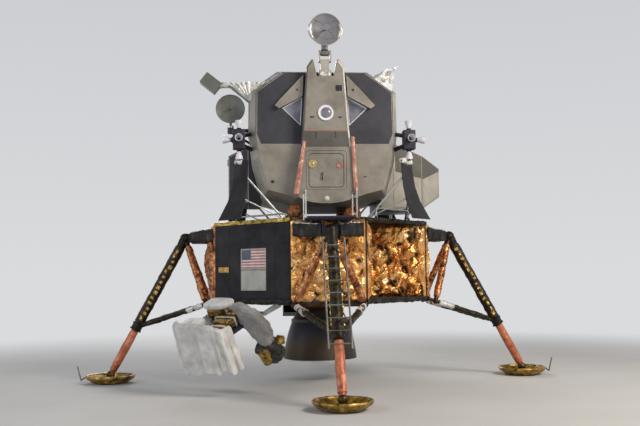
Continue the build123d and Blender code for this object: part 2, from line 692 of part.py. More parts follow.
def cabin_section(full=False, inward=0):
    """Cabin outline as x, z points, at the face or at its full size."""
    k = CABIN_GROW if full else 1
    outline = mirror_x(above_deck([(x * k, CABIN_MID + (z - CABIN_MID) * k) for x, z in CABIN_OUTLINE]))
    return inset(outline, inward) if inward else outline


def ring_at(section, y):
    return [(x, y, z) for x, z in section]


def cabin_solid(inward=0):
    front, full = cabin_section(False, inward), cabin_section(True, inward)
    return lofted(ring_at(front, FACE_BACK_Y), ring_at(full, SHOULDER_Y), ring_at(full, CABIN_BACK_Y - inward))


def cabin():
    """Cabin shell, docking tunnel, top hatch, floor and instrument panel."""
    tunnel_low, tunnel_top = ROOF_Z - TUNNEL_BELOW, ROOF_Z + TUNNEL_ABOVE
    bore = Solid.make_cylinder(TUNNEL_R + TUNNEL_WALL, 3 * WALL, Plane((0, 0, ROOF_Z - 2 * WALL)))
    save("cabin_shell", cut(cabin_solid(), cabin_solid(WALL), bore))

    rim = TUNNEL_R + TUNNEL_WALL
    tunnel = Solid.make_cylinder(rim, tunnel_top - tunnel_low, Plane((0, 0, tunnel_low)))
    flange = Solid.make_cylinder(rim + 60, 24, Plane((0, 0, ROOF_Z)))
    lip = Solid.make_cylinder(rim + 16, 18, Plane((0, 0, tunnel_top - 26)))
    hole = Solid.make_cylinder(TUNNEL_R, 600, Plane((0, 0, tunnel_low - 100)))
    hatch_r = TUNNEL_R + TOP_HATCH_LAP
    low = tunnel_low - GAP - TOP_HATCH_THICK
    axis_y, axis_z = hatch_r + 10, low + TOP_HATCH_THICK / 2
    lugs = [rod((s * 66, axis_y, axis_z), (s * 96, axis_y, axis_z), TOP_LUG_R) for s in (-1, 1)]
    lugs += [box(min(s * 66, s * 96), max(s * 66, s * 96), axis_y - 4, axis_y + TOP_LUG_R, axis_z, tunnel_low + 5)
             for s in (-1, 1)]
    holes = rod((-120, axis_y, axis_z), (120, axis_y, axis_z), SMALL_PIN_R + PIN_GAP)
    save("docking_tunnel", cut(join(tunnel, flange, lip, *lugs), hole, holes))

    lid = Solid.make_cylinder(hatch_r, TOP_HATCH_THICK, Plane((0, 0, low)))
    boss = Solid.make_cone(140, 170, 12, Plane((0, 0, low - 12)))
    grip = join(rod((-90, 0, low - 45), (90, 0, low - 45), 9),
                *[rod((x, 0, low - 45), (x, 0, low + 10), 9) for x in (-90, 90)])
    ear = box(-60, 60, hatch_r - 60, axis_y + 11, axis_z - 11, axis_z + 11)
    pins = rod((-94, axis_y, axis_z), (94, axis_y, axis_z), SMALL_PIN_R)
    save("top_hatch", join(lid, boss, grip, ear, pins))

    floor_z = min(z for x, z in cabin_section(False, WALL)) + 4
    half = CABIN_OUTLINE[-1][0] - 30
    save("cabin_floor", box(-half, half, FACE_BACK_Y + SEAT, CABIN_BACK_Y - WALL - SEAT, floor_z, floor_z + 24))

    near = FACE_BACK_Y + SEAT
    desk = [(near, 1400), (near, 1690), (near + 130, 1690), (near + 290, 1540), (near + 290, 1400)]
    board = [(near, 1640), (near, 2260), (near + 60, 2260), (near + 150, 1640)]
    panel = join(prism_x(above_deck(desk), -620, 620), prism_x(above_deck(board), -380, 380))
    save("instrument_panel", panel)


def column_x(z):
    """Half width of the column at a height between its feet and its shoulders."""
    (tx, tz), (mx, mz), (bx, bz) = COLUMN_SIDE
    return bx + (mx - bx) * (z - bz) / (mz - bz) if z < mz else mx + (tx - mx) * (z - mz) / (tz - mz)


def column_outline():
    """Column outline with a notch between two horns, x and z from the left foot round."""
    (tx, tz), (mx, mz), (bx, bz) = COLUMN_SIDE
    return [(-bx, bz), (-mx, mz), (-tx, tz), (-HORN_OUT, HORN_Z), (-HORN_IN, HORN_Z), (-NOTCH_HALF, NOTCH_Z),
            (NOTCH_HALF, NOTCH_Z), (HORN_IN, HORN_Z), (HORN_OUT, HORN_Z), (tx, tz), (mx, mz), (bx, bz)]


def column_solid(y0, y1):
    """Column body with a belly that curves down between its feet."""
    bx, bz = COLUMN_SIDE[2]
    arc = [(bx * math.cos(math.radians(t)), bz - COLUMN_ARC * math.sin(math.radians(t))) for t in range(20, 180, 20)]
    return prism_y(column_outline() + arc, y0, y1)


def column_room():
    """Room inside the column, from behind its front plate back through the cabin face."""
    top, low = HATCH_TOP_Z + 45, COLUMN_SIDE[2][1] + 20
    x_top, x_low = column_x(top) - COLUMN_WALL, column_x(low) - COLUMN_WALL
    return prism_y([(-x_top, top), (x_top, top), (x_low, low), (-x_low, low)],
                   COLUMN_Y + COLUMN_WALL, FACE_BACK_Y + 1)


def hatch_block(grow, y0, y1):
    half = HATCH_WIDE / 2 + grow
    block = box(-half, half, y0, y1, HATCH_LOW_Z - grow, HATCH_TOP_Z + grow)
    return rounded(block, HATCH_R + grow)


def cabin_front():
    """Dark upper face, grey cheeks, the column with its hatch, and what is fixed to the column."""
    room = column_room()
    face = prism_y(cabin_section(), FACE_Y, FACE_BACK_Y)
    far, deep = 2 * CABIN_SIDE_X, FACE_BACK_Y + 100
    line = [(SPLIT_HALF, SPLIT_Z), (SPLIT_SIDE_X, SPLIT_SIDE_Z), (far, SPLIT_SIDE_Z)]
    left = [(-x, z) for x, z in reversed(line)]
    above = prism_y(line + [(far, 2 * ROOF_Z), (-far, 2 * ROOF_Z)] + left, FACE_Y - 100, deep)
    below = prism_y(line + [(far, 0), (-far, 0)] + left, FACE_Y - 100, deep)
    save("dark_face", cut(face, below, *window_holes()))
    save("grey_cheeks", cut(face, above, room))

    back = COLUMN_Y + COLUMN_WALL + GAP
    x, y = HATCH_HINGE_X, back + HATCH_THICK / 2
    z0, z1 = HATCH_LOW_Z - HATCH_LIP, HATCH_TOP_Z + HATCH_LIP
    sockets = rod((x, y, z0 - 72), (x, y, z1 + 62), SMALL_PIN_R + PIN_GAP)
    opening = hatch_block(0, COLUMN_Y - 10, COLUMN_Y + COLUMN_WALL + 10)
    save("nose_column", cut(column_solid(COLUMN_Y, FACE_Y), room, opening, sockets))

    slab = hatch_block(HATCH_LIP, back, back + HATCH_THICK)
    plug = hatch_block(-GAP, COLUMN_Y + 4, back + 2)
    ears = [box(x - 12, x + 110, y - 14, y + 14, z, z + 40) for z in (z0, z1 - 40)]
    pins = [rod((x, y, z0 - 70), (x, y, z0 + 20), SMALL_PIN_R), rod((x, y, z1 - 20), (x, y, z1 + 60), SMALL_PIN_R)]
    save("front_hatch", join(slab, plug, *ears, *pins))

    bars = []
    # side, top height, its distance off the column's edge, foot height, its distance, half widths top and foot
    for side, top, top_off, low, low_off, wt, wb in ((-1, 1450, -44, 434, 32, 22, 42), (1, 1530, 53, 450, 1, 26, 30)):
        (tx, tz), (bx, bz) = [(side * (column_x(DECK_Z + max(h, 460)) + off), DECK_Z + h)
                              for h, off in ((top, top_off), (low, low_off))]
        bars.append(prism_y([(tx - wt, tz), (tx + wt, tz), (bx + wb, bz), (bx - wb, bz)],
                            COLUMN_Y - SEAT - 46, COLUMN_Y - SEAT))
    save("hatch_side_bars", *bars)

    rim = rod((0, COLUMN_Y, LIGHT_Z), (0, COLUMN_Y - 26, LIGHT_Z), LIGHT_R)
    dish = cone((0, COLUMN_Y - 10, LIGHT_Z), (0, COLUMN_Y - 27, LIGHT_Z), LIGHT_R - 48, LIGHT_R - 32)
    save("tracking_light", cut(rim, dish))


def beside_column(points):
    """Window or brow outline of the right side, from x off the column's widest part and height above the deck."""
    return above_deck([(COLUMN_SIDE[1][0] + x, z) for x, z in points])


def window_holes(grow=0, y0=FACE_Y - 10, y1=FACE_BACK_Y + 10):
    outline = beside_column(WINDOW)
    outline = inset(outline, -grow) if grow else outline
    return [prism_y([(s * x, z) for x, z in outline], y0, y1) for s in (-1, 1)]


def windows_and_brows():
    save("front_windows", *window_holes(-1, FACE_BACK_Y - 10 - PANE, FACE_BACK_Y - 10))
    made = []
    for s in (-1, 1):
        outline = beside_column(BROW)
        (ax, az), (bx, bz) = outline[0], outline[1]
        hole = Solid.make_cylinder(28, 40, Plane(origin=(s * (ax * 0.7 + bx * 0.3 - 40), FACE_Y - BROW_DEEP + 30,
                                                         az * 0.6 + bz * 0.4 - 60), z_dir=(0, -1, 0)))
        made.append(cut(prism_y([(s * x, z) for x, z in outline], FACE_Y - BROW_DEEP, FACE_Y), hole))
    save("window_brows", *made)


def tank_cover(side, rings):
    """Faceted cover on the cabin side, from a rectangle on the wall to a smaller one outside."""
    wall = rings[0]
    rows = [(AFT_OUTLINE[1][0], *wall), (CABIN_SIDE_X, *wall)] + [tuple(ring) for ring in rings[1:]]
    sections = []
    for x, y0, y1, z0, z1 in rows:
        z0, z1 = DECK_Z + z0, DECK_Z + z1
        sections.append([(side * x, y0, z0), (side * x, y1, z0), (side * x, y1, z1), (side * x, y0, z1)])
    return cut(lofted(*sections), cabin_solid())


def tank_covers():
    save("right_tank_cover", tank_cover(1, RIGHT_COVER))
    save("left_tank_cover", tank_cover(-1, LEFT_COVER))


def aft_bay():
    """Equipment bay behind the cabin, with upright ribs on its back."""
    outline = above_deck(mirror_x(AFT_OUTLINE))
    small = inset(outline, 120)
    body = lofted(ring_at(outline, CABIN_BACK_Y), ring_at(outline, AFT_BACK_Y - AFT_BEVEL), ring_at(small, AFT_BACK_Y))
    low, top = min(z for x, z in small) + 60, max(z for x, z in small) - 60
    ribs = [box(x - 14, x + 14, AFT_BACK_Y - 5, AFT_BACK_Y + 22, low, top) for x in range(-600, 601, 240)]
    save("aft_equipment_bay", join(body, *ribs))


def stage_fittings():
    """Foil-wrapped feet that carry the ascent stage on the deck."""
    low = min(z for x, z in cabin_section(True))
    x0 = CABIN_OUTLINE[-1][0] - 10
    made = []
    for x in (-x0, x0):
        for y in (SHOULDER_Y + 60, CABIN_BACK_Y - 130):
            made.append(lofted([(x - 95, y - 95, DECK_Z), (x + 95, y - 95, DECK_Z), (x + 95, y + 95, DECK_Z),
                                (x - 95, y + 95, DECK_Z)],
                               [(x - 60, y - 60, low), (x + 60, y - 60, low), (x + 60, y + 60, low),
                                (x - 60, y + 60, low)]))
    save("stage_fittings", *made)


def bell(origin, direction):
    outer = [(BELL_THROAT_R, 0), (BELL_THROAT_R + 7, BELL_LONG * 0.2), (BELL_EXIT_R * 0.78, BELL_LONG * 0.58),
             (BELL_EXIT_R, BELL_LONG)]
    inner = [(r - BELL_WALL, z) for r, z in outer]
    return turned_shell(outer, inner).moved(Plane(origin=Vector(*origin), z_dir=Vector(*direction)).location)


def thrusters():
    """Four clusters of four bells, on arms from the cabin sides and the aft bay."""
    aft = above_deck(mirror_x(AFT_OUTLINE))
    aft_room = prism_y(aft, CABIN_BACK_Y, AFT_BACK_Y - AFT_BEVEL)
    blocks, bells = [], []
    h, tall = CLUSTER_HALF, CLUSTER_TALL
    for sx in (-1, 1):
        for sy in (-1, 1):
            c = (sx * CLUSTER_XY, sy * CLUSTER_XY, CLUSTER_Z)
            block = rounded(box(c[0] - h, c[0] + h, c[1] - h, c[1] + h, c[2] - tall, c[2] + tall), 24, Axis.Z)
            root = (sx * (CABIN_SIDE_X - 60), SHOULDER_Y - 80) if sy < 0 else \
                (sx * (AFT_OUTLINE[1][0] - 50), AFT_BACK_Y - AFT_BEVEL - 300)
            arms = [rod((c[0], c[1], c[2] + s * 70), (*root, c[2] + s * 150), CLUSTER_ARM_R) for s in (-1, 1)]
            blocks.append(cut(join(block, *arms), cabin_solid() if sy < 0 else aft_room))
            for d in ((0, 0, 1), (0, 0, -1), (sx, 0, 0), (0, sy, 0)):
                start = (c[0] + d[0] * h, c[1] + d[1] * h, c[2] + d[2] * tall)
                bells.append(bell(start, d))
    save("thruster_blocks", *blocks)
    save("thruster_nozzles", *bells)


def dish_solid(radius, depth, wall):
    """Shallow bowl that opens along +Z, its back at the origin."""
    outer = [(radius * i / 4, depth * (i / 4) ** 2) for i in range(5)]
    return turned_shell(outer, [(r, z + wall) for r, z in outer])


def radar():
    y = RADAR_Y
    base = box(-120, 120, y - 70, y + 70, NOTCH_Z, NOTCH_Z + 120)
    neck = box(-80, 80, y - 55, y + 55, NOTCH_Z + 100, SHAFT_Z - 130)
    cheeks = [box(s * 105 - 15, s * 105 + 15, y - 55, y + 55, SHAFT_Z - 170, SHAFT_Z + 55) for s in (-1, 1)]
    cheeks = [c.fillet(50, [e for e in c.edges().filter_by(Axis.X) if e.center().Z > SHAFT_Z]) for c in cheeks]
    bridge = box(-120, 120, y - 55, y + 55, SHAFT_Z - 170, SHAFT_Z - 125)
    holes = rod((-300, y, SHAFT_Z), (300, y, SHAFT_Z), SHAFT_R + PIN_GAP)
    save("radar_pedestal", cut(join(base, neck, bridge, *cheeks), holes))

    hub = box(-80, 80, y - 50, y + 50, SHAFT_Z - 50, SHAFT_Z + 60)
    hub = rounded(hub, 40, Axis.X)
    pins = rod((-118, y, SHAFT_Z), (118, y, SHAFT_Z), SHAFT_R)
    spigot = rod((0, y, SHAFT_Z + 40), (0, y, SHAFT_Z + 190), SPIGOT_R)
    save("radar_yoke", join(hub, pins, spigot))

    low = SHAFT_Z + 66
    mid = SHAFT_Z + RADAR_UP
    sleeve = rod((0, y, low), (0, y, mid + 70), 62)
    bore = rod((0, y, low - 10), (0, y, SHAFT_Z + 195), SPIGOT_R + PIN_GAP)
    arm = rod((0, y, mid), (0, y - RADAR_OUT - 6, mid), 42)
    sleeve, arm = cut(sleeve, bore), cut(arm, bore)
    bowl = dish_solid(RADAR_R, 70, 10).moved(Plane(origin=(0, y - RADAR_OUT, mid), z_dir=(0, -1, 0)).location)
    feed = rod((0, y - RADAR_OUT - 5, mid), (0, y - RADAR_OUT - 210, mid), 12)
    horn = cone((0, y - RADAR_OUT - 190, mid), (0, y - RADAR_OUT - 225, mid), 40, 58)
    save("radar_dish", join(sleeve, arm, bowl, feed, horn))


def steerable_dish():
    x, y, z = DISH_X, DISH_Y, DISH_Z
    root = -CABIN_SIDE_X + 200
    foot_z = z - 400
    arm = join(rod((root, y, foot_z), (x, y, foot_z), 36), rod((x, y, foot_z - 60), (x, y, foot_z + 50), 60),
               rod((root, y, foot_z - 350), (x, y, foot_z - 30), 24))
    save("dish_bracket", cut(arm, cabin_solid(), rod((x, y, foot_z - 20), (x, y, foot_z + 60), SPIGOT_R + PIN_GAP)))

    back = y + 60
    post = join(rod((x, y, foot_z - 18), (x, y, foot_z + 60), SPIGOT_R),
                rod((x, y, foot_z + 56), (x, y, foot_z + 90), 60),
                rod((x, y, foot_z + 80), (x, back, foot_z + 200), 26),
                rod((x, back, foot_z + 200), (x, back, z - 90), 26), ball((x, back, foot_z + 200), 26),
                box(x - 110, x + 110, y + 15, y + 90, z - 110, z - 65),
                *[box(x + s * 95 - 15, x + s * 95 + 15, y - 35, y + 90, z - 110, z + 40) for s in (-1, 1)])
    save("antenna_mount", cut(post, rod((x - 200, y, z), (x + 200, y, z), PIN_R + PIN_GAP)))

    hub = box(x - 72, x + 72, y - 40, y + 45, z - 45, z + 45)
    hub = rounded(hub, 30, Axis.X)
    pins = rod((x - 108, y, z), (x + 108, y, z), PIN_R)
    neck = rod((x, y, z), (x, y - DISH_OUT - 6, z), 36)
    bowl = dish_solid(DISH_R, DISH_DEEP, 10).moved(Plane(origin=(x, y - DISH_OUT, z), z_dir=(0, -1, 0)).location)
    feed = rod((x, y - DISH_OUT - 5, z), (x, y - DISH_OUT - 190, z), 14)
    save("antenna_dish", join(hub, pins, neck, bowl, feed))


def fixed_antennas():
    """Relay box on its boom at the upper left, cone aerial at the upper right and two roof aerials."""
    body = cabin_solid()
    y = SHOULDER_Y + 120
    mid = DECK_Z + 2640
    boom = join(rod((-1150, y, mid), (-2150, y, mid + 20), 34),
                prism_y(above_deck([(-1000, 2655), (-1820, 2655), (-1820, 2630), (-1400, 2300), (-1000, 2300)]),
                        y - 240, y + 20))
    case = rounded(box(-180, 180, -110, 110, -120, 120), 14).rotate(Axis.Y, 38)
    save("relay_boom", cut(join(boom, case.moved(Location((-2170, y, mid + 60)))), body))

    wedge = [(900, 2690), (1120, 2830), (1240, 2950), (1330, 2940), (1350, 2740), (1350, 2440)]
    tip = DECK_Z + 2970
    mast = join(prism_y(above_deck(wedge), y - 300, y - 70), rod((1250, y - 185, tip - 70), (1400, y - 185, tip), 22),
                ball((1400, y - 185, tip), 22), cone((1400, y - 185, tip), (1490, y - 185, tip + 60), 46, 18))
    made = [cut(mast, body)]
    top = DECK_Z + AFT_OUTLINE[0][1]
    for s in (-1, 1):
        x, back = s * (AFT_OUTLINE[0][0] - 180), AFT_BACK_Y - AFT_BEVEL - 500
        made.append(join(rod((x, back, top), (x, back, top + 330), 16),
                         cone((x, back, top + 320), (x, back, top + 440), 34, 60),
                         rod((x, back, top), (x, back, top + 20), 60)))
    save("aerials", *made)


def docking_target():
    aside = TUNNEL_R + TUNNEL_WALL + 290
    x, y = -aside * 0.83, aside * 0.56
    plate = rod((x, y, ROOF_Z), (x, y, ROOF_Z + 14), 150)
    post = rod((x, y, ROOF_Z + 5), (x, y, ROOF_Z + 150), 14)
    cross = [box(x - 90, x + 90, y - 12, y + 12, ROOF_Z + 140, ROOF_Z + 156),
             box(x - 12, x + 12, y - 90, y + 90, ROOF_Z + 140, ROOF_Z + 156)]
    save("docking_target", join(plate, post, *cross))


def main():
    os.makedirs("parts", exist_ok=True)
    descent_stage()
    stowage_bay_frame()
    science_door()
    descent_nozzle()
    landing_radar()
    legs()
    contact_probes()
    ladder()
    porch()
    plume_deflectors()
    marking_plates()
    equipment_pallet()
    cabin()
    cabin_front()
    windows_and_brows()
    tank_covers()
    aft_bay()
    stage_fittings()
    thrusters()
    radar()
    steerable_dish()
    fixed_antennas()
    docking_target()


main()
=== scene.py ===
"""Looks of a two-stage lunar lander: crushed films, blankets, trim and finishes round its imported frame.

All lengths are in metres in the frame's own axes: +X to the right of a person who faces the hatch, -Y out of
the front, +Z up, pads on z = 0.
"""
import math

import bmesh
import bpy
import numpy as np
from mathutils import Matrix, Vector


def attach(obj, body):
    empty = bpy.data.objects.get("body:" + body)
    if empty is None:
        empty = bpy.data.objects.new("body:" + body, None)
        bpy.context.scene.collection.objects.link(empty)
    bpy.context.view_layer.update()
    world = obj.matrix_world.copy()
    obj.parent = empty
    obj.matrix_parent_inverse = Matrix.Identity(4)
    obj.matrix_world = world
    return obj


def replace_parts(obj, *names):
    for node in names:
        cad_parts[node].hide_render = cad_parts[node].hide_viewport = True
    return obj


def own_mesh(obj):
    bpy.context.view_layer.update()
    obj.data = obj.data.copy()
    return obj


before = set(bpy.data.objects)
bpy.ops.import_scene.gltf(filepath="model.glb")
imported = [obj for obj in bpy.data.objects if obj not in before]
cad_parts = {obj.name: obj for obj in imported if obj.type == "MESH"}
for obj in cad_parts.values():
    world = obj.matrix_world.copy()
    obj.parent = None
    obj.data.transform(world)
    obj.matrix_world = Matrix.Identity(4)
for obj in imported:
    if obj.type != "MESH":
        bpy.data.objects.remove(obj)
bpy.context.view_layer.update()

bl_info = {
    "name": "Lunar lander looks",
    "version": (1, 0, 0),
    "blender": (4, 2, 0),
    "location": "View3D > Sidebar > Lander",
    "description": "Crushed films, blankets, trim and finishes of a two-stage lunar lander",
    "category": "Object",
}

# The frame's sizes that the looks follow
APOTHEM, ARM = 2.11, 0.69                      # stage centre to an arm face, half an arm face
CORNER = (APOTHEM + ARM) / math.sqrt(2)        # stage centre to a corner face
CORNER_HALF = (APOTHEM - ARM) / math.sqrt(2)   # half a corner face
BASE, DECK = 1.60, 3.16
APEX = np.array([2.75, 0, 2.90])               # top of a leg, in its own frame
PAD = np.array([4.24, 0, 0.165])
DOWN_LEG = (PAD - APEX) / np.linalg.norm(PAD - APEX)
TUBE_END = 2.1067                              # down the strut to the end of its tube
STRUT_WRAP = 0.092                             # radius of the main strut under its wrap
BRACE_FOOT = (2.295, 0.64, 1.57)
LEGS = (0, 90, 180, 270)
HINGE_OUT, HINGE_Z, PALLET_DROP = CORNER + 0.40, 1.44, math.radians(25)
FACE_Y, FACE_BACK_Y, SHOULDER_Y, BACK_Y = -1.75, -1.69, -1.30, 0.69
COLUMN_Y, HATCH_Y = -1.95, -1.946
CABIN_HALF = [(0.795, 2.79), (1.30, 2.43), (1.31, 1.64), (1.245, 1.15), (1.077, 0.555), (0.754, 0.47),
              (0.56, 0.40)]
CABIN_MID, CABIN_GROW = 1.59, 1.105
COLUMN_SIDE = [(0.352, 6.02), (0.432, 4.83), (0.545, 3.62)]
WINDOW = [(0.425, 5.49), (0.810, 5.268), (0.460, 4.93)]
BROW = [(0.405, 5.895), (0.950, 5.311), (0.870, 5.25), (0.425, 5.49)]
CLUSTER = 1.625
CHUTE_TOP = (CLUSTER * math.sqrt(2) - 0.068, 4.275)   # out along the corner, and up
RIGHT_COVER = [(1.4476, -0.78, 0.88, 0.27, 1.60), (2.05, -0.75, 0.82, 0.27, 1.34),
               (2.48, -0.35, 0.45, 0.54, 1.13)]
LEFT_COVER = [(1.4476, -0.70, 0.86, 0.40, 1.54), (1.85, -0.45, 0.62, 0.48, 1.38)]
AFT_HALF = [(1.00, 2.44), (1.20, 2.24), (1.20, 0.74), (0.96, 0.48)]
AFT_Y, AFT_BEVEL_Y = 1.96, 1.80
RADAR_Z = 6.70                                 # middle of the tracking dish
FRONT, UP = np.array([0, -1.0, 0]), np.array([0, 0, 1.0])
STUD = [(0, 0), (1, 0), (0.8, 0.45), (0, 0.62)]       # a fastener's head of radius 1: radius and height pairs
BACKDROP = "#DADBDD"


# Arrays

def linear(hex_colour):
    """An sRGB hex colour as linear red, green, blue and alpha."""
    c = np.array([int(hex_colour[i:i + 2], 16) / 255 for i in (1, 3, 5)])
    c = np.where(c <= 0.04045, c / 12.92, ((c + 0.055) / 1.055) ** 2.4)
    return (*(float(v) for v in c), 1.0)


def unit(vectors):
    """Vectors scaled to a length of 1."""
    v = np.asarray(vectors, float)
    return v / (np.linalg.norm(v, axis=-1, keepdims=True) + 1e-12)


def spread(values):
    """Values stretched to run from 0 to 1."""
    return (values - values.min()) / (np.ptp(values) + 1e-9)


def way_along(path):
    """Distance along a path to each of its points."""
    return np.concatenate([[0], np.cumsum(np.linalg.norm(np.diff(path, axis=0), axis=1))])


def turn(count):
    """Angles of a full turn, whose last one is the first again."""
    return np.linspace(0, 2 * np.pi, count)


def spin(points, degrees):
    """Points turned about Z."""
    c, s = math.cos(math.radians(degrees)), math.sin(math.radians(degrees))
    return np.asarray(points, float) @ np.array([[c, s, 0], [-s, c, 0], [0, 0, 1]])


def on_pallet(points):
    """Points given as out from the hinge, across and up on a level pallet, swung to its parked slope."""
    p = np.asarray(points, float)
    c, s = math.cos(PALLET_DROP), math.sin(PALLET_DROP)
    out, up = p[..., 0] * c + p[..., 2] * s, -p[..., 0] * s + p[..., 2] * c
    return spin(np.stack([HINGE_OUT + out, p[..., 1], HINGE_Z + up], -1), 225)


def folds(rows, cols, levels, seed, fade=0.42, wrap=False):
    """Random folds of a crushed film, three numbers a point. A coarse lattice gets random offsets from -1 to
    1. Each level halves the cells: a new point is the mean of its edge, or of one diagonal chosen at random,
    so creases stay straight, plus a random offset that is fade times the last level's."""
    rng = np.random.default_rng(seed)
    h = rng.uniform(-1, 1, (rows + 1, cols + 1, 3))
    if wrap:
        h[:, -1] = h[:, 0]
    size = 1.0
    for _ in range(levels):
        fine = np.empty((2 * h.shape[0] - 1, 2 * h.shape[1] - 1, 3))
        fine[::2, ::2] = h
        fine[1::2, ::2] = (h[:-1] + h[1:]) / 2
        fine[::2, 1::2] = (h[:, :-1] + h[:, 1:]) / 2
        pick = rng.random((h.shape[0] - 1, h.shape[1] - 1, 1)) < 0.5
        fine[1::2, 1::2] = np.where(pick, h[:-1, :-1] + h[1:, 1:], h[:-1, 1:] + h[1:, :-1]) / 2
        size *= fade
        extra = rng.uniform(-size, size, fine.shape)
        if wrap:
            extra[:, -1] = extra[:, 0]
        h = fine + extra
    return h


def creases(across, up, length, seed, waves=4):
    """Long straight folds of a pulled film, from 0 to 1. Each of a few triangle waves runs at a random
    angle, with crests about a length apart and its phase bent by two slow sines; each next wave is shorter
    and lower."""
    rng = np.random.default_rng(seed)
    height = 0
    for k in range(waves):
        angle, other, shift = rng.uniform(0, np.pi), rng.uniform(0, np.pi), rng.uniform(0, 2 * np.pi, 3)
        gap = length * 0.62 ** k
        run = across * math.cos(angle) + up * math.sin(angle)
        bend = (np.sin((across * math.cos(other) + up * math.sin(other)) * 2.4 / gap + shift[0])
                + 0.5 * np.sin((across * math.sin(other) - up * math.cos(other)) * 5.1 / gap + shift[1]))
        height = height + 0.72 ** k * np.abs((run / gap + 0.22 * bend + shift[2]) % 1 - 0.5)
    return spread(height)


def power_ring(angle, power):
    """Superellipse of half size 1: the cosine and sine, each to the power 2 over power with its sign kept."""
    c, s = np.cos(angle), np.sin(angle)
    return np.sign(c) * np.abs(c) ** (2 / power), np.sign(s) * np.abs(s) ** (2 / power)


def surface(name, grids, finish, slot, body="lander", smooth=False, fold=None, closed=False, seam=False):
    """Object whose faces join neighbouring points of grids shaped rows x columns x 3, or stacks of such
    grids. One with a seam has its doubles merged, and a closed one has its normals turned outwards too."""
    grids = [g.reshape(-1, *g.shape[-3:]) for g in grids]
    points = np.concatenate([g.reshape(-1, 3) for g in grids])
    quads, start = [], 0
    for g in grids:
        count, rows, cols = g.shape[:3]
        i = start + np.arange(count * rows * cols).reshape(count, rows, cols)
        corners = (i[:, :-1, :-1], i[:, :-1, 1:], i[:, 1:, 1:], i[:, 1:, :-1])
        quads.append(np.stack(corners, -1).reshape(-1, 4))
        start += count * rows * cols
    quads = np.concatenate(quads)
    mesh = bpy.data.meshes.new(name)
    mesh.vertices.add(len(points))
    mesh.vertices.foreach_set("co", points.astype(np.float32).ravel())
    mesh.loops.add(quads.size)
    mesh.loops.foreach_set("vertex_index", quads.astype(np.int32).ravel())
    mesh.polygons.add(len(quads))
    mesh.polygons.foreach_set("loop_start", np.arange(0, quads.size, 4, dtype=np.int32))
    mesh.update(calc_edges=True)
    if fold is not None:
        values = np.concatenate([np.asarray(f, float).ravel() for f in fold])
        mesh.attributes.new("fold", "FLOAT", "POINT").data.foreach_set("value", values.astype(np.float32))
    if closed or seam:
        bm = bmesh.new()
        bm.from_mesh(mesh)
        bmesh.ops.remove_doubles(bm, verts=bm.verts, dist=1e-5)
        bmesh.ops.dissolve_degenerate(bm, edges=bm.edges, dist=1e-6)
        if closed:
            bmesh.ops.recalc_face_normals(bm, faces=bm.faces)
        bm.to_mesh(mesh)
        bm.free()
    mesh.polygons.foreach_set("use_smooth", np.full(len(mesh.polygons), smooth))
    mesh.materials.append(finishes()[finish])
    piece = bpy.data.objects.new(name, mesh)
    bpy.context.scene.collection.objects.link(piece)
    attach(piece, body)
    return piece


def crushed(name, made, finish, slot, closed=True, **more):
    """Surface of grids that each come with the fold heights of their points."""
    return surface(name, [m[0] for m in made], finish, slot, fold=[m[1] for m in made], closed=closed, **more)


def film_panel(angle, out, across, up, depth, cell, seed, bulge=0.0, levels=3, margin=0.07):
    """Crushed film over a flat face whose outward side looks along an angle about Z. A point lies at its
    place on the face, slid along it by the folds, and stands off by depth times the fold height plus bulge
    times a sine arch, both dying away over the margin at the edges."""
    wide, high = across[1] - across[0], up[1] - up[0]
    f = folds(max(2, round(high / cell)), max(2, round(wide / cell)), levels, seed)
    b, a = np.meshgrid(np.linspace(0, 1, f.shape[0]), np.linspace(0, 1, f.shape[1]), indexing="ij")
    hold = np.clip(np.minimum.reduce([a * wide, (1 - a) * wide, b * high, (1 - b) * high]) / margin, 0, 1)
    height = spread(0.85 * creases(a * wide, b * high, cell * 3.9, seed) + 0.15 * spread(f[..., 2]))
    lift = 0.004 + hold * (depth * height + bulge * np.sin(np.pi * a) * np.sin(np.pi * b))
    points = np.stack([out + lift, across[0] + a * wide + hold * f[..., 0] * cell * 0.3,
                       up[0] + b * high + hold * f[..., 1] * cell * 0.3], -1)
    return spin(points, angle), height


def wrapped(a, b, sizes, cell, depth, seed, power=2.0, tuck=0.003):
    """Crushed film round a bar from a to b. sizes are rows of share of the length and the two half widths.
    Each ring is a superellipse of those half widths, pushed out by depth times the fold height; the end
    rings tuck into the bar."""
    a, b = np.asarray(a, float), np.asarray(b, float)
    long, axis = np.linalg.norm(b - a), unit(b - a)
    aside = unit(np.cross(axis, (0.02, 0.0, 1.0)))
    other = np.cross(aside, axis)
    share, wide, high = np.array(sizes, float).T
    girth = math.pi * (wide.max() + high.max())
    f = folds(max(2, round(long / cell)), max(3, round(girth / cell)), 3, seed, wrap=True)
    t = np.linspace(0, 1, f.shape[0])
    w, h = np.interp(t, share, wide)[:, None], np.interp(t, share, high)[:, None]
    c, s = power_ring(turn(f.shape[1])[None, :], power)
    height = spread(f[..., 2])
    lift = depth * height + 0.002
    lift[0], lift[-1] = -tuck, -tuck
    along = (t * long)[:, None] + np.where((t > 0) & (t < 1), 1, 0)[:, None] * f[..., 0] * cell * 0.25
    x, y = (w + lift) * c, (h + lift) * s
    return a + along[..., None] * axis + x[..., None] * aside + y[..., None] * other, height


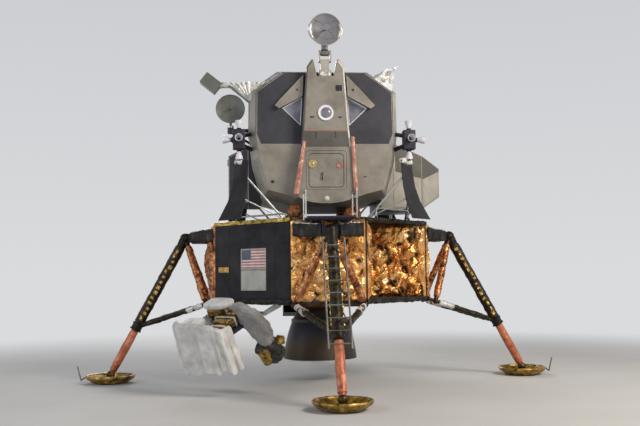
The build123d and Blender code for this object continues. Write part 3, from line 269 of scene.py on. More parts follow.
def strut_patches(side, radius, seed):
    """Row of torn gold scraps on one flank of a strut: each is a small piece of a cylinder a little proud of
    the wrap, its length, width and place jittered and its middle lifted by noise."""
    rng = np.random.default_rng(abs(seed) + 300)
    start = np.arange(0.26, TUBE_END - 0.30, 0.118)[:, None, None]
    n = len(start)
    long, half = rng.uniform(0.05, 0.095, (n, 1, 1)), rng.uniform(0.20, 0.38, (n, 1, 1))
    t, q = np.linspace(0, 1, 6)[None, :, None], np.linspace(1, -1, 6)[None, None, :]
    edge = rng.uniform(0.75, 1.25, (n, 6, 1))
    along = start + rng.uniform(0, 0.02, (n, 1, 1)) + long * t + 0.012 * rng.uniform(-1, 1, (n, 1, 6))
    angle = side * math.pi / 2 + rng.uniform(-0.25, 0.25, (n, 1, 1)) + half * edge * q
    rim = np.minimum(np.minimum(t, 1 - t), np.minimum(q + 1, 1 - q) / 2)
    height = rng.uniform(0.45, 1, (n, 6, 6))
    reach = radius - 0.004 + 0.018 * np.clip(rim * 5, 0, 1) * height
    across = np.array([0, 1.0, 0])
    points = (APEX + along[..., None] * DOWN_LEG
              + (reach * np.cos(angle))[..., None] * np.cross(DOWN_LEG, across)
              + (reach * np.sin(angle))[..., None] * across)
    return points, height


def blob(centre, half, power, depth, cell, seed):
    """Closed crushed shape about a centre: a superellipsoid of three half sizes, as rings from pole to pole,
    pushed out by depth times the fold height."""
    half = np.asarray(half, float)
    f = folds(max(3, round(2.2 * half[2] / cell)), max(4, round(1.8 * (half[0] + half[1]) / cell)), 3, seed,
              wrap=True)
    f[0], f[-1] = f[0, 0], f[-1, 0]
    ring, rise = power_ring(np.linspace(-np.pi / 2, np.pi / 2, f.shape[0])[:, None], power)
    c, s = power_ring(turn(f.shape[1])[None, :], power)
    ring = np.where(np.abs(ring) < 1e-6, 0, ring)
    height = spread(f[..., 2])
    p = np.stack([ring * c, ring * s, rise + 0 * c], -1) * half
    reach = np.linalg.norm(p, axis=-1, keepdims=True) + 1e-9
    return np.asarray(centre, float) + p * (1 + depth * (height[..., None] - 0.5) / reach), height


def edge_film(start, end, outward, z, profile, depth, cell, seed):
    """Crushed strip along an edge of the stage, from start to end. profile is rows of distance outward and
    height, and a point is pushed off the strip's middle line by depth times the fold height."""
    start, end, out = np.array([*start, z], float), np.array([*end, z], float), np.array([*outward, 0], float)
    profile = np.asarray(profile, float)
    reach = way_along(profile)
    f = folds(max(3, round(np.linalg.norm(end - start) / cell)), max(2, round(reach[-1] / cell)), 3, seed)
    t, s = np.linspace(0, 1, f.shape[0]), np.linspace(0, reach[-1], f.shape[1])
    o, u = (np.interp(s, reach, profile[:, k]) for k in (0, 1))
    middle = profile.mean(0) + (profile[0] - profile.mean(0)) * 0.4
    away = unit(np.stack([o - middle[0], u - middle[1]], -1))
    height = spread(f[..., 2])
    push = np.where((s > 0) & (s < reach[-1]), 1.0, 0.15) * depth * height
    o, u = o + push * away[:, 0], u + push * away[:, 1]
    return start + t[:, None, None] * (end - start) + o[..., None] * out + u[..., None] * UP, height


def tube(path, radius, around=8):
    """Round tube along a path: at each point a ring square to the mean of its two runs."""
    path = np.asarray(path, float)
    run = unit(np.gradient(path, axis=0))
    aside = unit(np.cross(run, (0.013, 0.021, 1.0)))
    angle = turn(around + 1)[None, :, None]
    return path[:, None] + radius * (np.cos(angle) * aside[:, None]
                                     + np.sin(angle) * np.cross(run, aside)[:, None])


def smooth_path(points, count):
    """Points along a Catmull-Rom curve: between two given points the cubic whose slopes there are half the
    run between the neighbours."""
    p = np.asarray(points, float)
    p = np.concatenate([2 * p[:1] - p[1:2], p, 2 * p[-1:] - p[-2:-1]])
    t = np.linspace(0, 1, count, endpoint=False)[:, None]
    runs = [0.5 * ((2 * b) + (c - a) * t + (2 * a - 5 * b + 4 * c - d) * t ** 2
                   + (3 * b - a - 3 * c + d) * t ** 3)
            for a, b, c, d in zip(p[:-3], p[1:-2], p[2:-1], p[3:])]
    return np.concatenate([*runs, p[-2:-1]])


def lathe(profile, around):
    """Surface turned about +Z from radius and height pairs."""
    profile = np.asarray(profile, float)
    angle = turn(around + 1)
    return np.stack([profile[:, :1] * np.cos(angle), profile[:, :1] * np.sin(angle),
                     profile[:, 1:] + 0 * angle], -1)


def aimed(points, origin, axis):
    """Points whose own +Z is turned to an axis and whose own origin is moved to a place."""
    z = unit(axis)
    x = unit(np.cross((0.3, 0.1, 1.0) if abs(z[2]) < 0.9 else (0, 1.0, 0), z))
    return np.asarray(origin, float) + points @ np.stack([x, np.cross(z, x), z])


def strip(a, b, normal, wide, high):
    """Raised strip with bevelled sides along a line on a flat face, as a closed bar of rings."""
    a, b, n = np.asarray(a, float), np.asarray(b, float), unit(normal)
    side = np.cross(n, unit(b - a))
    low, top = wide / 2, wide / 2 - high * 0.8
    ring = np.array([side * s + n * h for s, h in ((-low, -0.001), (-top, high), (top, high), (low, -0.001),
                                                   (-low, -0.001))])
    return np.stack([np.broadcast_to(a, ring.shape), a + ring, b + ring, np.broadcast_to(b, ring.shape)])


def plate(corners, lift=0.0, bulge=0.0, rows=4, cols=10):
    """Patch between four corners, bottom edge first: their bilinear mean, raised along its normal by a lift
    and by a bulge times a sine arch both ways."""
    p = np.asarray(corners, float)
    n = unit(np.cross(p[1] - p[0], p[3] - p[0]))
    b, a = np.meshgrid(np.linspace(0, 1, rows), np.linspace(0, 1, cols), indexing="ij")
    a, b = a[..., None], b[..., None]
    flat = (p[0] * (1 - a) + p[1] * a) * (1 - b) + (p[3] * (1 - a) + p[2] * a) * b
    return flat + n * (lift + bulge * np.sin(np.pi * a) * np.sin(np.pi * b))


def sack(path, sizes, cell, depth, seed, levels=3, fade=0.42):
    """Closed crushed bag along a curved path. sizes are rows of share of the length, half width and half
    height. A ring is an ellipse of those sizes, closed to a point at both ends as the root of the distance
    to them."""
    path = smooth_path(path, 12)
    share, wide, high = np.array(sizes, float).T
    reach = way_along(path)
    f = folds(max(3, round(reach[-1] / cell)),
              max(4, round(math.pi * (wide.max() + high.max()) / cell)), levels, seed, fade, wrap=True)
    t = np.linspace(0, 1, f.shape[0])
    line = np.stack([np.interp(t * reach[-1], reach, path[:, k]) for k in range(3)], -1)
    run = unit(np.gradient(line, axis=0))
    aside = unit(np.cross(run, (1.0, 0.01, 0.02)))
    close = np.sqrt(np.clip(1 - np.abs(2 * t - 1) ** 5, 0, 1))
    w, h = (np.interp(t, share, k) * close for k in (wide, high))
    angle = turn(f.shape[1])[None, :]
    pinch = creases(np.sin(angle) + 0 * t[:, None], np.cos(angle) + 3 * t[:, None], 1.5, seed)
    height = spread(0.55 * spread(f[..., 2]) + 0.45 * pinch)
    ring = ((w[:, None] * np.cos(angle))[..., None] * aside[:, None]
            + (h[:, None] * np.sin(angle))[..., None] * np.cross(run, aside)[:, None])
    return line[:, None] + (1 + depth * (height - 0.6))[..., None] * ring, height


def studs(lines, pitch, radius):
    """Low closed domes a pitch apart along lines given as start, end and normal, with six sides each."""
    dome = lathe(STUD, 6) * radius
    made = []
    for a, b, n in lines:
        a, b = np.asarray(a, float), np.asarray(b, float)
        count = max(2, round(np.linalg.norm(b - a) / pitch))
        made += [aimed(dome, a + (b - a) * t, n) for t in (np.arange(count) + 0.5) / count]
    return np.array(made)


def panel_lines(corners, centre, across=1, up=1, edge=0.03):
    """Seam lines of a four-cornered panel: its border moved in by edge, and lines that divide it."""
    p = np.asarray(corners, float)
    middle = p.mean(0)
    p = p + unit(middle - p) * edge * 1.4
    n = unit(np.cross(p[2] - p[0], p[3] - p[1]))
    n = n * (1 if n @ (middle - np.asarray(centre, float)) > 0 else -1)
    return ([(p[0] + (p[1] - p[0]) * i / across, p[3] + (p[2] - p[3]) * i / across, n)
             for i in range(across + 1)]
            + [(p[0] + (p[3] - p[0]) * j / up, p[1] + (p[2] - p[1]) * j / up, n) for j in range(up + 1)])


def cabin_ring(full, y):
    """Cabin outline at the face or at its full size, left half from the top down and then the right half."""
    k = CABIN_GROW if full else 1.0
    half = np.array([(x * k, DECK + CABIN_MID + (z - CABIN_MID) * k) for x, z in CABIN_HALF])
    ring = np.concatenate([half * (-1, 1), half[::-1]])
    return np.stack([ring[:, 0], np.full(len(ring), y), ring[:, 1]], -1)


def column_half(z):
    """Half width of the column at a height."""
    xs, zs = zip(*COLUMN_SIDE)
    return float(np.interp(z, zs[::-1], xs[::-1]))


# Finishes

def add_node(tree, kind, links=(), stops=(), **settings):
    """Adds a shader node, sets its properties and a ramp's stops, then fills its inputs with values or with
    other nodes' outputs. A stop is a place and a colour, as hex or as four linear numbers."""
    node = tree.nodes.new("ShaderNode" + kind)
    for key, value in settings.items():
        setattr(node, key, value)
    for key, value in dict(links).items():
        if isinstance(value, bpy.types.NodeSocket):
            tree.links.new(value, node.inputs[key])
        else:
            node.inputs[key].default_value = value
    for _ in range(len(stops) - 2):
        node.color_ramp.elements.new(0.5)
    for element, (place, colour) in zip(node.color_ramp.elements if stops else (), stops):
        element.position, element.color = place, colour if len(colour) == 4 else linear(colour)
    return node


def start_finish(name, **constants):
    """An empty material with its shader, set to the given constants, and Object coordinates in metres."""
    material = bpy.data.materials.new(name)
    material.use_nodes = True
    tree = material.node_tree
    shader = next(n for n in tree.nodes if n.type == "BSDF_PRINCIPLED")
    for key, value in constants.items():
        shader.inputs[key.replace("_", " ")].default_value = value
    return material, tree, shader, tree.nodes.new("ShaderNodeTexCoord").outputs["Object"]


def drift(tree, place, scale, detail, stops, rough=0.5):
    """Colour that drifts between the stops as a noise does, and that noise."""
    noise = add_node(tree, "TexNoise", {"Vector": place, "Scale": scale, "Detail": detail,
                                        "Roughness": rough})
    return (add_node(tree, "ValToRGB", {"Fac": noise.outputs["Fac"]}, stops).outputs["Color"],
            noise.outputs["Fac"])


def shade_folds(tree, colour, low, high, most, tint):
    """The colour, mixed with a dark tint as painted shade in the folds' valleys: where the mesh's fold
    attribute is below high, and most of all below low."""
    fold = add_node(tree, "Attribute", attribute_name="fold").outputs["Fac"]
    dark = add_node(tree, "MapRange", {"Value": fold, "From Min": low, "From Max": high, "To Min": most,
                                       "To Max": 0.0}).outputs["Result"]
    return add_node(tree, "Mix", {"Factor": dark, 6: colour, 7: linear(tint)}, data_type="RGBA").outputs[2]


def dress(tree, shader, colour, height, strength, distance):
    """Links the colour to the shader, and the height by way of a bump of some strength and depth."""
    bump = add_node(tree, "Bump", {"Height": height, "Strength": strength, "Distance": distance})
    tree.links.new(colour, shader.inputs["Base Color"])
    tree.links.new(bump.outputs["Normal"], shader.inputs["Normal"])


def film(name, deep, middle, light, patch, crease, metallic, rough, painted_shade_tint, shade):
    """Crushed metallised film: colour drifts between three tints over patches, folds' valleys are darker with
    painted shade, and creases finer than the mesh come from the edges of Voronoi cells as bump."""
    material, tree, shader, place = start_finish(name, Metallic=metallic)
    colour = drift(tree, place, 1 / patch, 4.0, [(0.30, deep), (0.52, middle), (0.72, light)], 0.6)[0]
    colour = shade_folds(tree, colour, 0.20, 0.36, shade, painted_shade_tint)
    cells = add_node(tree, "TexVoronoi", {"Vector": place, "Scale": 1 / crease}, feature="DISTANCE_TO_EDGE")
    wrinkle = add_node(tree, "TexNoise", {"Vector": place, "Scale": 2.2 / crease,
                                          "Detail": 3.0}).outputs["Fac"]
    height = add_node(tree, "Math", {0: cells.outputs["Distance"], 1: wrinkle}, operation="ADD").outputs[0]
    sheen = add_node(tree, "MapRange", {"Value": wrinkle, "From Min": 0.3, "From Max": 0.7,
                                        "To Min": rough * 0.7, "To Max": rough * 1.5}).outputs["Result"]
    tree.links.new(sheen, shader.inputs["Roughness"])
    dress(tree, shader, colour, height, 0.4, crease * 0.22)
    return material


def skin(name, base, worn, dark, metallic, rough, mottled=0.35, grain=0.004):
    """Thin rolled alloy skin, bare, anodised or painted: sheets differ a little in tone (flat Voronoi cells
    a sheet wide), the tone drifts over each, fine grain breaks the gloss, and shallow dents between
    fasteners bend it."""
    sheet = 0.45
    material, tree, shader, place = start_finish(name, Metallic=metallic)
    colour, tone = drift(tree, place, 1 / sheet, 5.0, [(0.32, dark), (0.5, base), (0.74, worn)], 0.65)
    plates = add_node(tree, "TexVoronoi", {"Vector": place, "Scale": 0.8 / sheet}).outputs["Color"]
    plain = add_node(tree, "SeparateColor", {"Color": plates}).outputs[0]
    part = add_node(tree, "Math", {0: plain, 1: mottled * 0.3}, operation="MULTIPLY").outputs[0]
    colour = add_node(tree, "Mix", {"Factor": part, 6: colour, 7: linear(dark)}, data_type="RGBA").outputs[2]
    fine = add_node(tree, "TexNoise", {"Vector": place, "Scale": 0.25 / grain, "Detail": 2.0}).outputs["Fac"]
    dents = add_node(tree, "TexNoise", {"Vector": place, "Scale": 7.0, "Detail": 1.0}).outputs["Fac"]
    height = add_node(tree, "Math", {0: fine, 1: 0.12, 2: dents}, operation="MULTIPLY_ADD").outputs[0]
    gloss = add_node(tree, "MapRange", {"Value": tone, "From Min": 0.3, "From Max": 0.7,
                                        "To Min": rough * 1.15, "To Max": rough * 0.85}).outputs["Result"]
    tree.links.new(gloss, shader.inputs["Roughness"])
    dress(tree, shader, colour, height, 0.35, 0.012)
    return material


def cloth(name, base, light, dust_and_shade, patch=0.12):
    """Woven glass or polyester cloth: two crossed wave bands a thread wide make the weave's bump, creases and
    dust change the tone over patches, and the bottoms of the folds are darker with painted shade. Threads are
    drawn 3 mm wide."""
    thread = 0.003
    material, tree, shader, place = start_finish(name, Roughness=0.85, Sheen_Weight=0.25, Sheen_Roughness=0.5)
    colour = drift(tree, place, 1 / patch, 6.0, [(0.28, dust_and_shade), (0.5, base), (0.7, light)], 0.6)[0]
    colour = shade_folds(tree, colour, 0.05, 0.55, 0.75, dust_and_shade)
    warp, weft = (add_node(tree, "TexWave", {"Vector": place, "Scale": 0.16 / thread}, bands_direction=axis)
                  for axis in "XZ")
    weave = add_node(tree, "Math", {0: warp.outputs["Fac"], 1: weft.outputs["Fac"]},
                     operation="MAXIMUM").outputs[0]
    crush = add_node(tree, "TexNoise", {"Vector": place, "Scale": 14.0, "Detail": 5.0, "Roughness": 0.6})
    height = add_node(tree, "Math", {0: weave, 1: 0.1, 2: crush.outputs["Fac"]},
                      operation="MULTIPLY_ADD").outputs[0]
    dress(tree, shader, colour, height, 0.5, 0.012)
    return material


def burnt_alloy(name):
    """Engine bell of a heat-resisting alloy: dull grey-brown with bluish and straw bands that follow the
    height, as heat leaves them, and faint turning marks."""
    material, tree, shader, place = start_finish(name, Metallic=0.8, Roughness=0.48)
    height = add_node(tree, "SeparateXYZ", {"Vector": place}).outputs["Z"]
    wander = add_node(tree, "TexNoise", {"Vector": place, "Scale": 3.0, "Detail": 4.0}).outputs["Fac"]
    level = add_node(tree, "Math", {0: wander, 1: 0.35, 2: height}, operation="MULTIPLY_ADD").outputs[0]
    share = add_node(tree, "MapRange", {"Value": level, "From Min": 0.5, "From Max": 1.9}).outputs["Result"]
    bands = [(0.0, "#3B3834"), (0.3, "#55493D"), (0.5, "#4A4E58"), (0.75, "#6B6259"), (1.0, "#7A7672")]
    colour = add_node(tree, "ValToRGB", {"Fac": share}, bands).outputs["Color"]
    rings = add_node(tree, "TexWave", {"Vector": place, "Scale": 14.0, "Distortion": 1.0},
                     bands_direction="Z")
    dress(tree, shader, colour, rings.outputs["Fac"], 0.25, 0.003)
    return material


def coated_glass(name):
    """Outer window pane of hard glass with a pale lavender heat coating: it lets little through, mirrors
    softly, and the coating is a little thicker in places."""
    material, tree, shader, place = start_finish(name, Transmission_Weight=0.35, Roughness=0.08, IOR=1.52,
                                                 Coat_Weight=0.6)
    colour = drift(tree, place, 3.5, 2.0, [(0.35, "#6E6F80"), (0.65, "#A6A6B8")])[0]
    tree.links.new(colour, shader.inputs["Base Color"])
    return material


def print_ink(name, colour, faded):
    """Ink printed on thin anodised foil, faded in patches by sunlight, with a soft gloss."""
    material, tree, shader, place = start_finish(name, Roughness=0.5)
    tree.links.new(drift(tree, place, 9.0, 5.0, [(0.35, colour), (0.7, faded)])[0],
                   shader.inputs["Base Color"])
    return material


_made = {}


def finishes():
    """Every finish of the lander by name, made once."""
    if _made:
        return _made
    tint = bpy.context.scene.lander_colours
    gold, copper, grey, white = ((*getattr(tint, n), 1.0) for n in ("gold", "copper", "grey", "white"))
    # deep, middle and light tone, patch, crease, metallic, roughness, and the tint and share of the painted
    # shade in the folds' valleys
    films = {
        # thin amber plastic film with a metal back: honey gold and brown in patches, near black in its folds'
        # valleys as painted shade
        "amber_film": ("#B06A34", gold, "#F9D5A2", 0.35, 0.08, 0.75, 0.27, "#170C05", 0.94),
        # the same film, thicker and redder, seen on the braces and the left face
        "copper_film": ("#5E3018", copper, "#EFC29A", 0.10, 0.045, 0.65, 0.32, "#170905", 0.90),
        # orange-brown film pulled tight round the lower leg
        "tight_orange_film": ("#A25A3E", "#C27250", "#DC9A7C", 0.3, 0.035, 0.35, 0.45, "#4E2416", 0.5),
        # the same film bleached to salmon, on the bars beside the hatch
        "salmon_film": ("#93604E", "#B98472", "#DDBBAA", 0.18, 0.03, 0.35, 0.42, "#5A2A1C", 0.6),
        # old gold film round the cargo, dulled by dust to a green-brown
        "dusty_gold_film": ("#4A3A18", "#A58238", "#E3C57A", 0.09, 0.02, 0.7, 0.34, "#15110A", 0.8),
        # yellow film along the deck's edge
        "yellow_film": ("#7D6322", "#C9AC50", "#EFDC96", 0.12, 0.025, 0.6, 0.35, "#1D170A", 0.6),
        # nickel film with a black oxide, soft black with grey glints on its creases
        "black_oxide_film": ("#12110F", "#24211E", "#4B463F", 0.22, 0.035, 0.6, 0.36, "#050505", 0.6),
        # bare aluminium side of a film, crushed to a near white
        "silver_film": ("#9C9A94", "#DAD8D2", "#F6F5F0", 0.12, 0.02, 0.35, 0.42, "#3C3A36", 0.55),
        # black-brown film wound round a strut: dull, with a faint gold sheen on its ridges
        "dark_strut_wrap": ("#1D1912", "#2C261A", "#5A4A28", 0.10, 0.022, 0.55, 0.40, "#0A0805", 0.6),
        # gold scraps left on the dark wrap: light and yellow, with little shade in their folds
        "old_gold_film": ("#A8803A", "#DDB260", "#F6DFA0", 0.06, 0.02, 0.6, 0.34, "#5A4420", 0.3),
    }
    # base, worn and dark tone, metallic, roughness and, where they aren't the usual ones, mottling and grain
    skins = {
        # rolled skin painted with matt black heat paint
        "black_heat_paint": ("#19181C", "#232126", "#111014", 0.0, 0.72),
        # thinner heat paint over alloy: dark blue-grey and a little glossier than the black; on the left tank
        # cover it is painted shade
        "charcoal_paint": ("#313138", "#3A3A41", "#29292F", 0.0, 0.62, 0.2),
        # acid-anodised alloy, a warm grey with a low sheen
        "anodised_grey": (grey, "#9D978B", "#766F65", 0.25, 0.5),
        # the same alloy with a thinner oxide: lighter, seen on the cabin's sides
        "anodised_pale": ("#A39D91", "#B5B0A4", "#8C867B", 0.25, 0.48),
        # alloy with a chromate coat: greenish grey with a satin sheen
        "anodised_green": ("#64675F", "#73766E", "#52554F", 0.25, 0.5),
        # thick oxide on the rear bay: a darker, flatter grey; the same grey is painted shade on the column's
        # left edge and on two facets of the right tank cover
        "anodised_dark": ("#5A5750", "#66635B", "#4C4943", 0.25, 0.52),
        # warm white with a soft gloss: a painted highlight down the column's right edge, and the colour of the
        # belly spot
        "cream_enamel": ("#D8D3C2", "#E8E4D6", "#B9B3A2", 0.0, 0.42),
        # zinc-oxide paint: cool white, smooth and not quite matt
        "white_thermal_paint": (white, "#F2F1F6", "#B4B2BC", 0.0, 0.5, 0.25),
        # machined alloy gone dark: violet-black with a soft metal sheen
        "dull_dark_metal": ("#33313A", "#45434B", "#232128", 0.45, 0.5),
        # flat black as painted shade on what lies behind the panes and in the bays, so that it reads as depth
        "black_interior": ("#26262A", "#303035", "#1A1A1D", 0.0, 0.7),
        # drawn aluminium tube, bright with a fine grain
        "drawn_tube": ("#B9BAB8", "#D3D3D0", "#8D8D8B", 0.85, 0.34, 0.1, 0.002),
        # the same tube gone dull and dark: oxide and dust, and on the ladder also painted shade
        "dull_tube": ("#77746A", "#8D8A80", "#57544C", 0.55, 0.5, 0.2, 0.003),
        # fine wire mesh seen from afar, darkened to an even grey as painted shade, with little gloss
        "radar_mesh_grey": ("#7B7A80", "#8C8B91", "#66656B", 0.2, 0.55),
        # brushed plate without print: pale grey-green and satin
        "blank_plate": ("#B4B3AA", "#C9C8C0", "#9A988E", 0.3, 0.45),
        # lacquered brass cap: dull yellow with a soft shine
        "brass_cover": ("#B7A16E", "#CDBB8B", "#8C7848", 0.5, 0.42),
        # frosted lamp cover: grey and glossy
        "lamp_glass": ("#77757A", "#8A888D", "#5C5A60", 0.2, 0.2),
    }
    # base, light, and dust tone that is also the painted shade in the folds, and patch
    cloths = {
        # glass-fibre cloth that doesn't burn: clean white with grey moon dust in patches, and grey painted
        # shade in its folds
        "white_glass_cloth": ("#D6D4CF", "#ECEBE7", "#B5B2AC", 0.25),
        # translucent bag that looks like grey cloth: mid grey with soft paler patches, and darker painted
        # shade in its folds
        "grey_bag_cloth": ("#8F8D8A", "#A5A3A0", "#75736F", 0.3),
        # dark pack cloth with dust: near black with brown-grey ridges, and near-black painted shade in its
        # folds
        "dusty_pack_cloth": ("#3B3A35", "#5C5A52", "#1E1D1A"),
    }
    inks = {
        # printed red stripes, bleached towards pink
        "faded_red_ink": ("#AE5C5B", "#C38583"),
        # white stripes between them, yellowed to cream
        "faded_white_ink": ("#DCCFC6", "#E9E1DA"),
        # blue canton, gone to slate
        "faded_blue_ink": ("#4D5760", "#5F6A72"),
        # brushed red-brown trim, chalky
        "brick_red_paint": ("#92645A", "#A3796D"),
    }
    for make, rows in ((film, films), (skin, skins), (cloth, cloths), (print_ink, inks),
                       (burnt_alloy, {"burnt_alloy": ()}), (coated_glass, {"coated_glass": ()})):
        _made.update({name: make(name, *row) for name, row in rows.items()})
    return _made


FINISH_NODES = {
    # the stage's body, cabin floor and panel take flat black as painted shade
    "black_interior": "descent_body cabin_floor instrument_panel",
    "black_oxide_film": "descent_base descent_deck landing_radar outriggers",
    "amber_film": "front_skin rear_skins stowage_bay_lining stowage_bay_frame",
    "copper_film": "left_skin leg_braces stage_fittings",
    "black_heat_paint": "corner_skins science_bay_door plume_deflectors",
    "burnt_alloy": "descent_nozzle",
    "dark_strut_wrap": "primary_struts side_struts",
    "tight_orange_film": "leg_pistons",
    "dusty_gold_film": "footpads pallet_cases",
    # the ladder's darker grey is partly painted shade
    "dull_tube": "contact_probes ladder radar_yoke",
    "dull_dark_metal": "porch_platform pallet_tray thruster_blocks dish_bracket",
    "drawn_tube": "porch_handrails deflector_struts pallet_arms docking_tunnel antenna_mount",
    "blank_plate": "marking_plates",
    "white_glass_cloth": "pallet_blankets end_drape",
    "grey_bag_cloth": "pallet_packs",
    "anodised_pale": "cabin_shell right_tank_cover radar_pedestal",
    # the left tank cover is the same skin as the right one; the dark paint on it is painted shade
    "charcoal_paint": "dark_face left_tank_cover",
    "anodised_grey": "grey_cheeks nose_column front_hatch window_brows top_hatch",
    "salmon_film": "hatch_side_bars",
    "white_thermal_paint": "tracking_light thruster_nozzles aerials docking_target",
    "coated_glass": "front_windows",
    "anodised_dark": "aft_equipment_bay",
    # the tracking dish's face is darkened as painted shade
    "radar_mesh_grey": "radar_dish",
    "anodised_green": "antenna_dish relay_boom",
}
NODE_FINISH = {node: finish for finish, nodes in FINISH_NODES.items() for node in nodes.split()}


# Sizes and colours that a user may change

def length(name, description, default, low, high):
    """A length property in metres."""
    return bpy.props.FloatProperty(name=name, description=description, default=default, min=low, max=high,
                                   unit="LENGTH")


def tone(name, description, default):
    """A colour property."""
    return bpy.props.FloatVectorProperty(name=name, description=description, default=linear(default)[:3],
                                         subtype="COLOR", size=3, min=0, max=1)


class LanderSizes(bpy.types.PropertyGroup):
    """Sizes of the films, seams and studs."""
    film_depth: length("Film depth", "How far the crushed film of the stage stands off its panels", 0.12,
                       0.01, 0.2)
    film_cell: length("Film crease", "Length of the film's smaller creases", 0.14, 0.06, 0.4)
    wrap_depth: length("Wrap depth", "How far the wraps of the legs stand off their tubes", 0.022, 0.004,
                       0.06)
    seam_width: length("Seam width", "Width of the raised seams between panels", 0.022, 0.008, 0.06)
    stud_pitch: length("Stud spacing", "Distance between fasteners along a seam, coarser than the real one",
                       0.11, 0.04, 0.3)
    stud_radius: length("Stud radius", "Radius of a fastener's head, drawn larger so that it shows",
                        0.008, 0.003, 0.02)


class LanderColours(bpy.types.PropertyGroup):
    """Main colours of the films and paints."""
    gold: tone("Gold film", "Middle tone of the amber film", "#E3A65C")
    copper: tone("Copper film", "Middle tone of the redder film", "#B4703F")
    grey: tone("Cabin grey", "Middle tone of the cabin's anodised skin", "#8B857A")
    white: tone("White paint", "Middle tone of the thermal paint", "#DEDCE4")


# Pieces

class Maker:
    """What the operators share: each makes its own pieces and then says that it is done."""

    def execute(self, context):
        self.make(context.scene)
        return {"FINISHED"}


class LANDER_OT_finish_frame(Maker, bpy.types.Operator):
    """Gives each node of the frame its finish"""
    bl_idname = "lander.finish_frame"
    bl_label = "Finish the frame"

    def make(self, scene):
        for name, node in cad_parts.items():
            node.data.materials.clear()
            node.data.materials.append(finishes()[NODE_FINISH[name]])


class LANDER_OT_stage_films(Maker, bpy.types.Operator):
    """Crushed films on the four arm faces and in the open bay"""
    bl_idname = "lander.stage_films"
    bl_label = "Stage films"

    def make(self, scene):
        depth, cell = scene.lander_sizes.film_depth, scene.lander_sizes.film_cell
        side, up = (-ARM + 0.004, ARM - 0.004), (BASE + 0.004, DECK - 0.012)
        # name, finish, slot, node that it covers, and the angle, seed and bulge of each face
        for name, finish, slot, node, faces in (
                ("front_film", "amber_film", "gold_foil", "front_skin", [(270, 11, 0.0)]),
                ("left_film", "copper_film", "copper_foil", "left_skin", [(180, 12, 0.17)]),
                ("right_and_rear_films", "amber_film", "gold_foil", "rear_skins",
                 [(0, 13, 0.0), (90, 14, 0.0)])):
            made = [film_panel(angle, APOTHEM, side, up, depth, cell, seed, bulge)
                    for angle, seed, bulge in faces]
            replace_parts(crushed(name, made, finish, slot, closed=False), node)
        bay_depth, low, high = 0.14, ARM + 0.03, APOTHEM - 0.03
        made = [film_panel(angle, low, across, (BASE + 0.044, DECK - 0.044), bay_depth, cell, seed,
                           margin=0.08)
                for angle, across, seed in ((270, (low, high), 15), (0, (-high, -low), 16))]
        crushed("open_bay_films", made, "amber_film", "gold_foil", closed=False)


class LANDER_OT_stage_edges(Maker, bpy.types.Operator):
    """Strips of film along the stage's upper and lower edges, the deck's blanket and a loose gold patch"""
    bl_idname = "lander.stage_edges"
    bl_label = "Stage edges"

    def make(self, scene):
        a, h = APOTHEM, ARM
        ring = np.array([(-h, -a), (h, -a), (a, -h), (a, h), (h, a), (-h, a), (-a, h), (-a, -h)])
        top = [(-0.14, 0.004), (-0.05, 0.010), (0.008, 0.006), (0.016, -0.035), (0.008, -0.06)]
        low = [(0.012, 0.07), (0.020, 0.01), (0.0, -0.012), (-0.07, -0.012), (-0.20, -0.004)]

        def edge(i, z, profile, depth, cell, seed):
            """Crushed strip along one edge of the ring, whose outward side looks away from its middle."""
            p, q = ring[i], ring[(i + 1) % 8]
            return edge_film(p, q, unit(p + q), z, profile, depth, cell, seed + i)

        over_bay = edge_film(ring[1], ring[2], (0.707, -0.707), DECK, top, 0.03, 0.08, 41)
        upper = [*(edge(i, DECK, top, 0.022, 0.09, 40) for i in (0, 2, 3, 4, 5, 6)), over_bay]
        lower = [edge(i, BASE, low, 0.03, 0.10, 60) for i in range(8)]
        yellow = edge(7, DECK, top, 0.026, 0.055, 40)
        crushed("deck_edge_films", upper, "black_oxide_film", "dark_foil", closed=False)
        crushed("base_edge_films", lower, "black_oxide_film", "dark_foil", closed=False)
        crushed("yellow_edge_film", [yellow], "yellow_film", "gold_foil", closed=False)
        patch = film_panel(225, CORNER + 0.002, (-0.91, -0.62), (2.18, 2.29), 0.03, 0.028, 74, levels=2,
                           margin=0.02)
        crushed("corner_gold_patch", [patch], "old_gold_film", "gold_foil", closed=False)

        # the deck's blanket: rings of the octagon from the middle outward, lifted by the folds
        f = folds(12, 56, 3, 72, wrap=True)
        share = np.linspace(0.02, 0.97, f.shape[0])[:, None]
        corners = np.degrees(np.arctan2(ring[:, 1], ring[:, 0]))
        order = np.argsort(corners)
        places = np.concatenate([corners[order], corners[order] + 360])
        x, y = (np.interp(np.degrees(turn(f.shape[1])), places, np.tile(ring[order, k], 2)) for k in (0, 1))
        height = spread(f[..., 2])
        lift = 0.003 + 0.028 * height * np.clip((0.97 - share) / 0.05, 0, 1)
        points = np.stack([x * share, y * share, DECK + lift], -1)
        crushed("deck_blanket", [(points[:, ::-1], height[:, ::-1])], "black_oxide_film", "dark_foil",
                closed=False, seam=True)


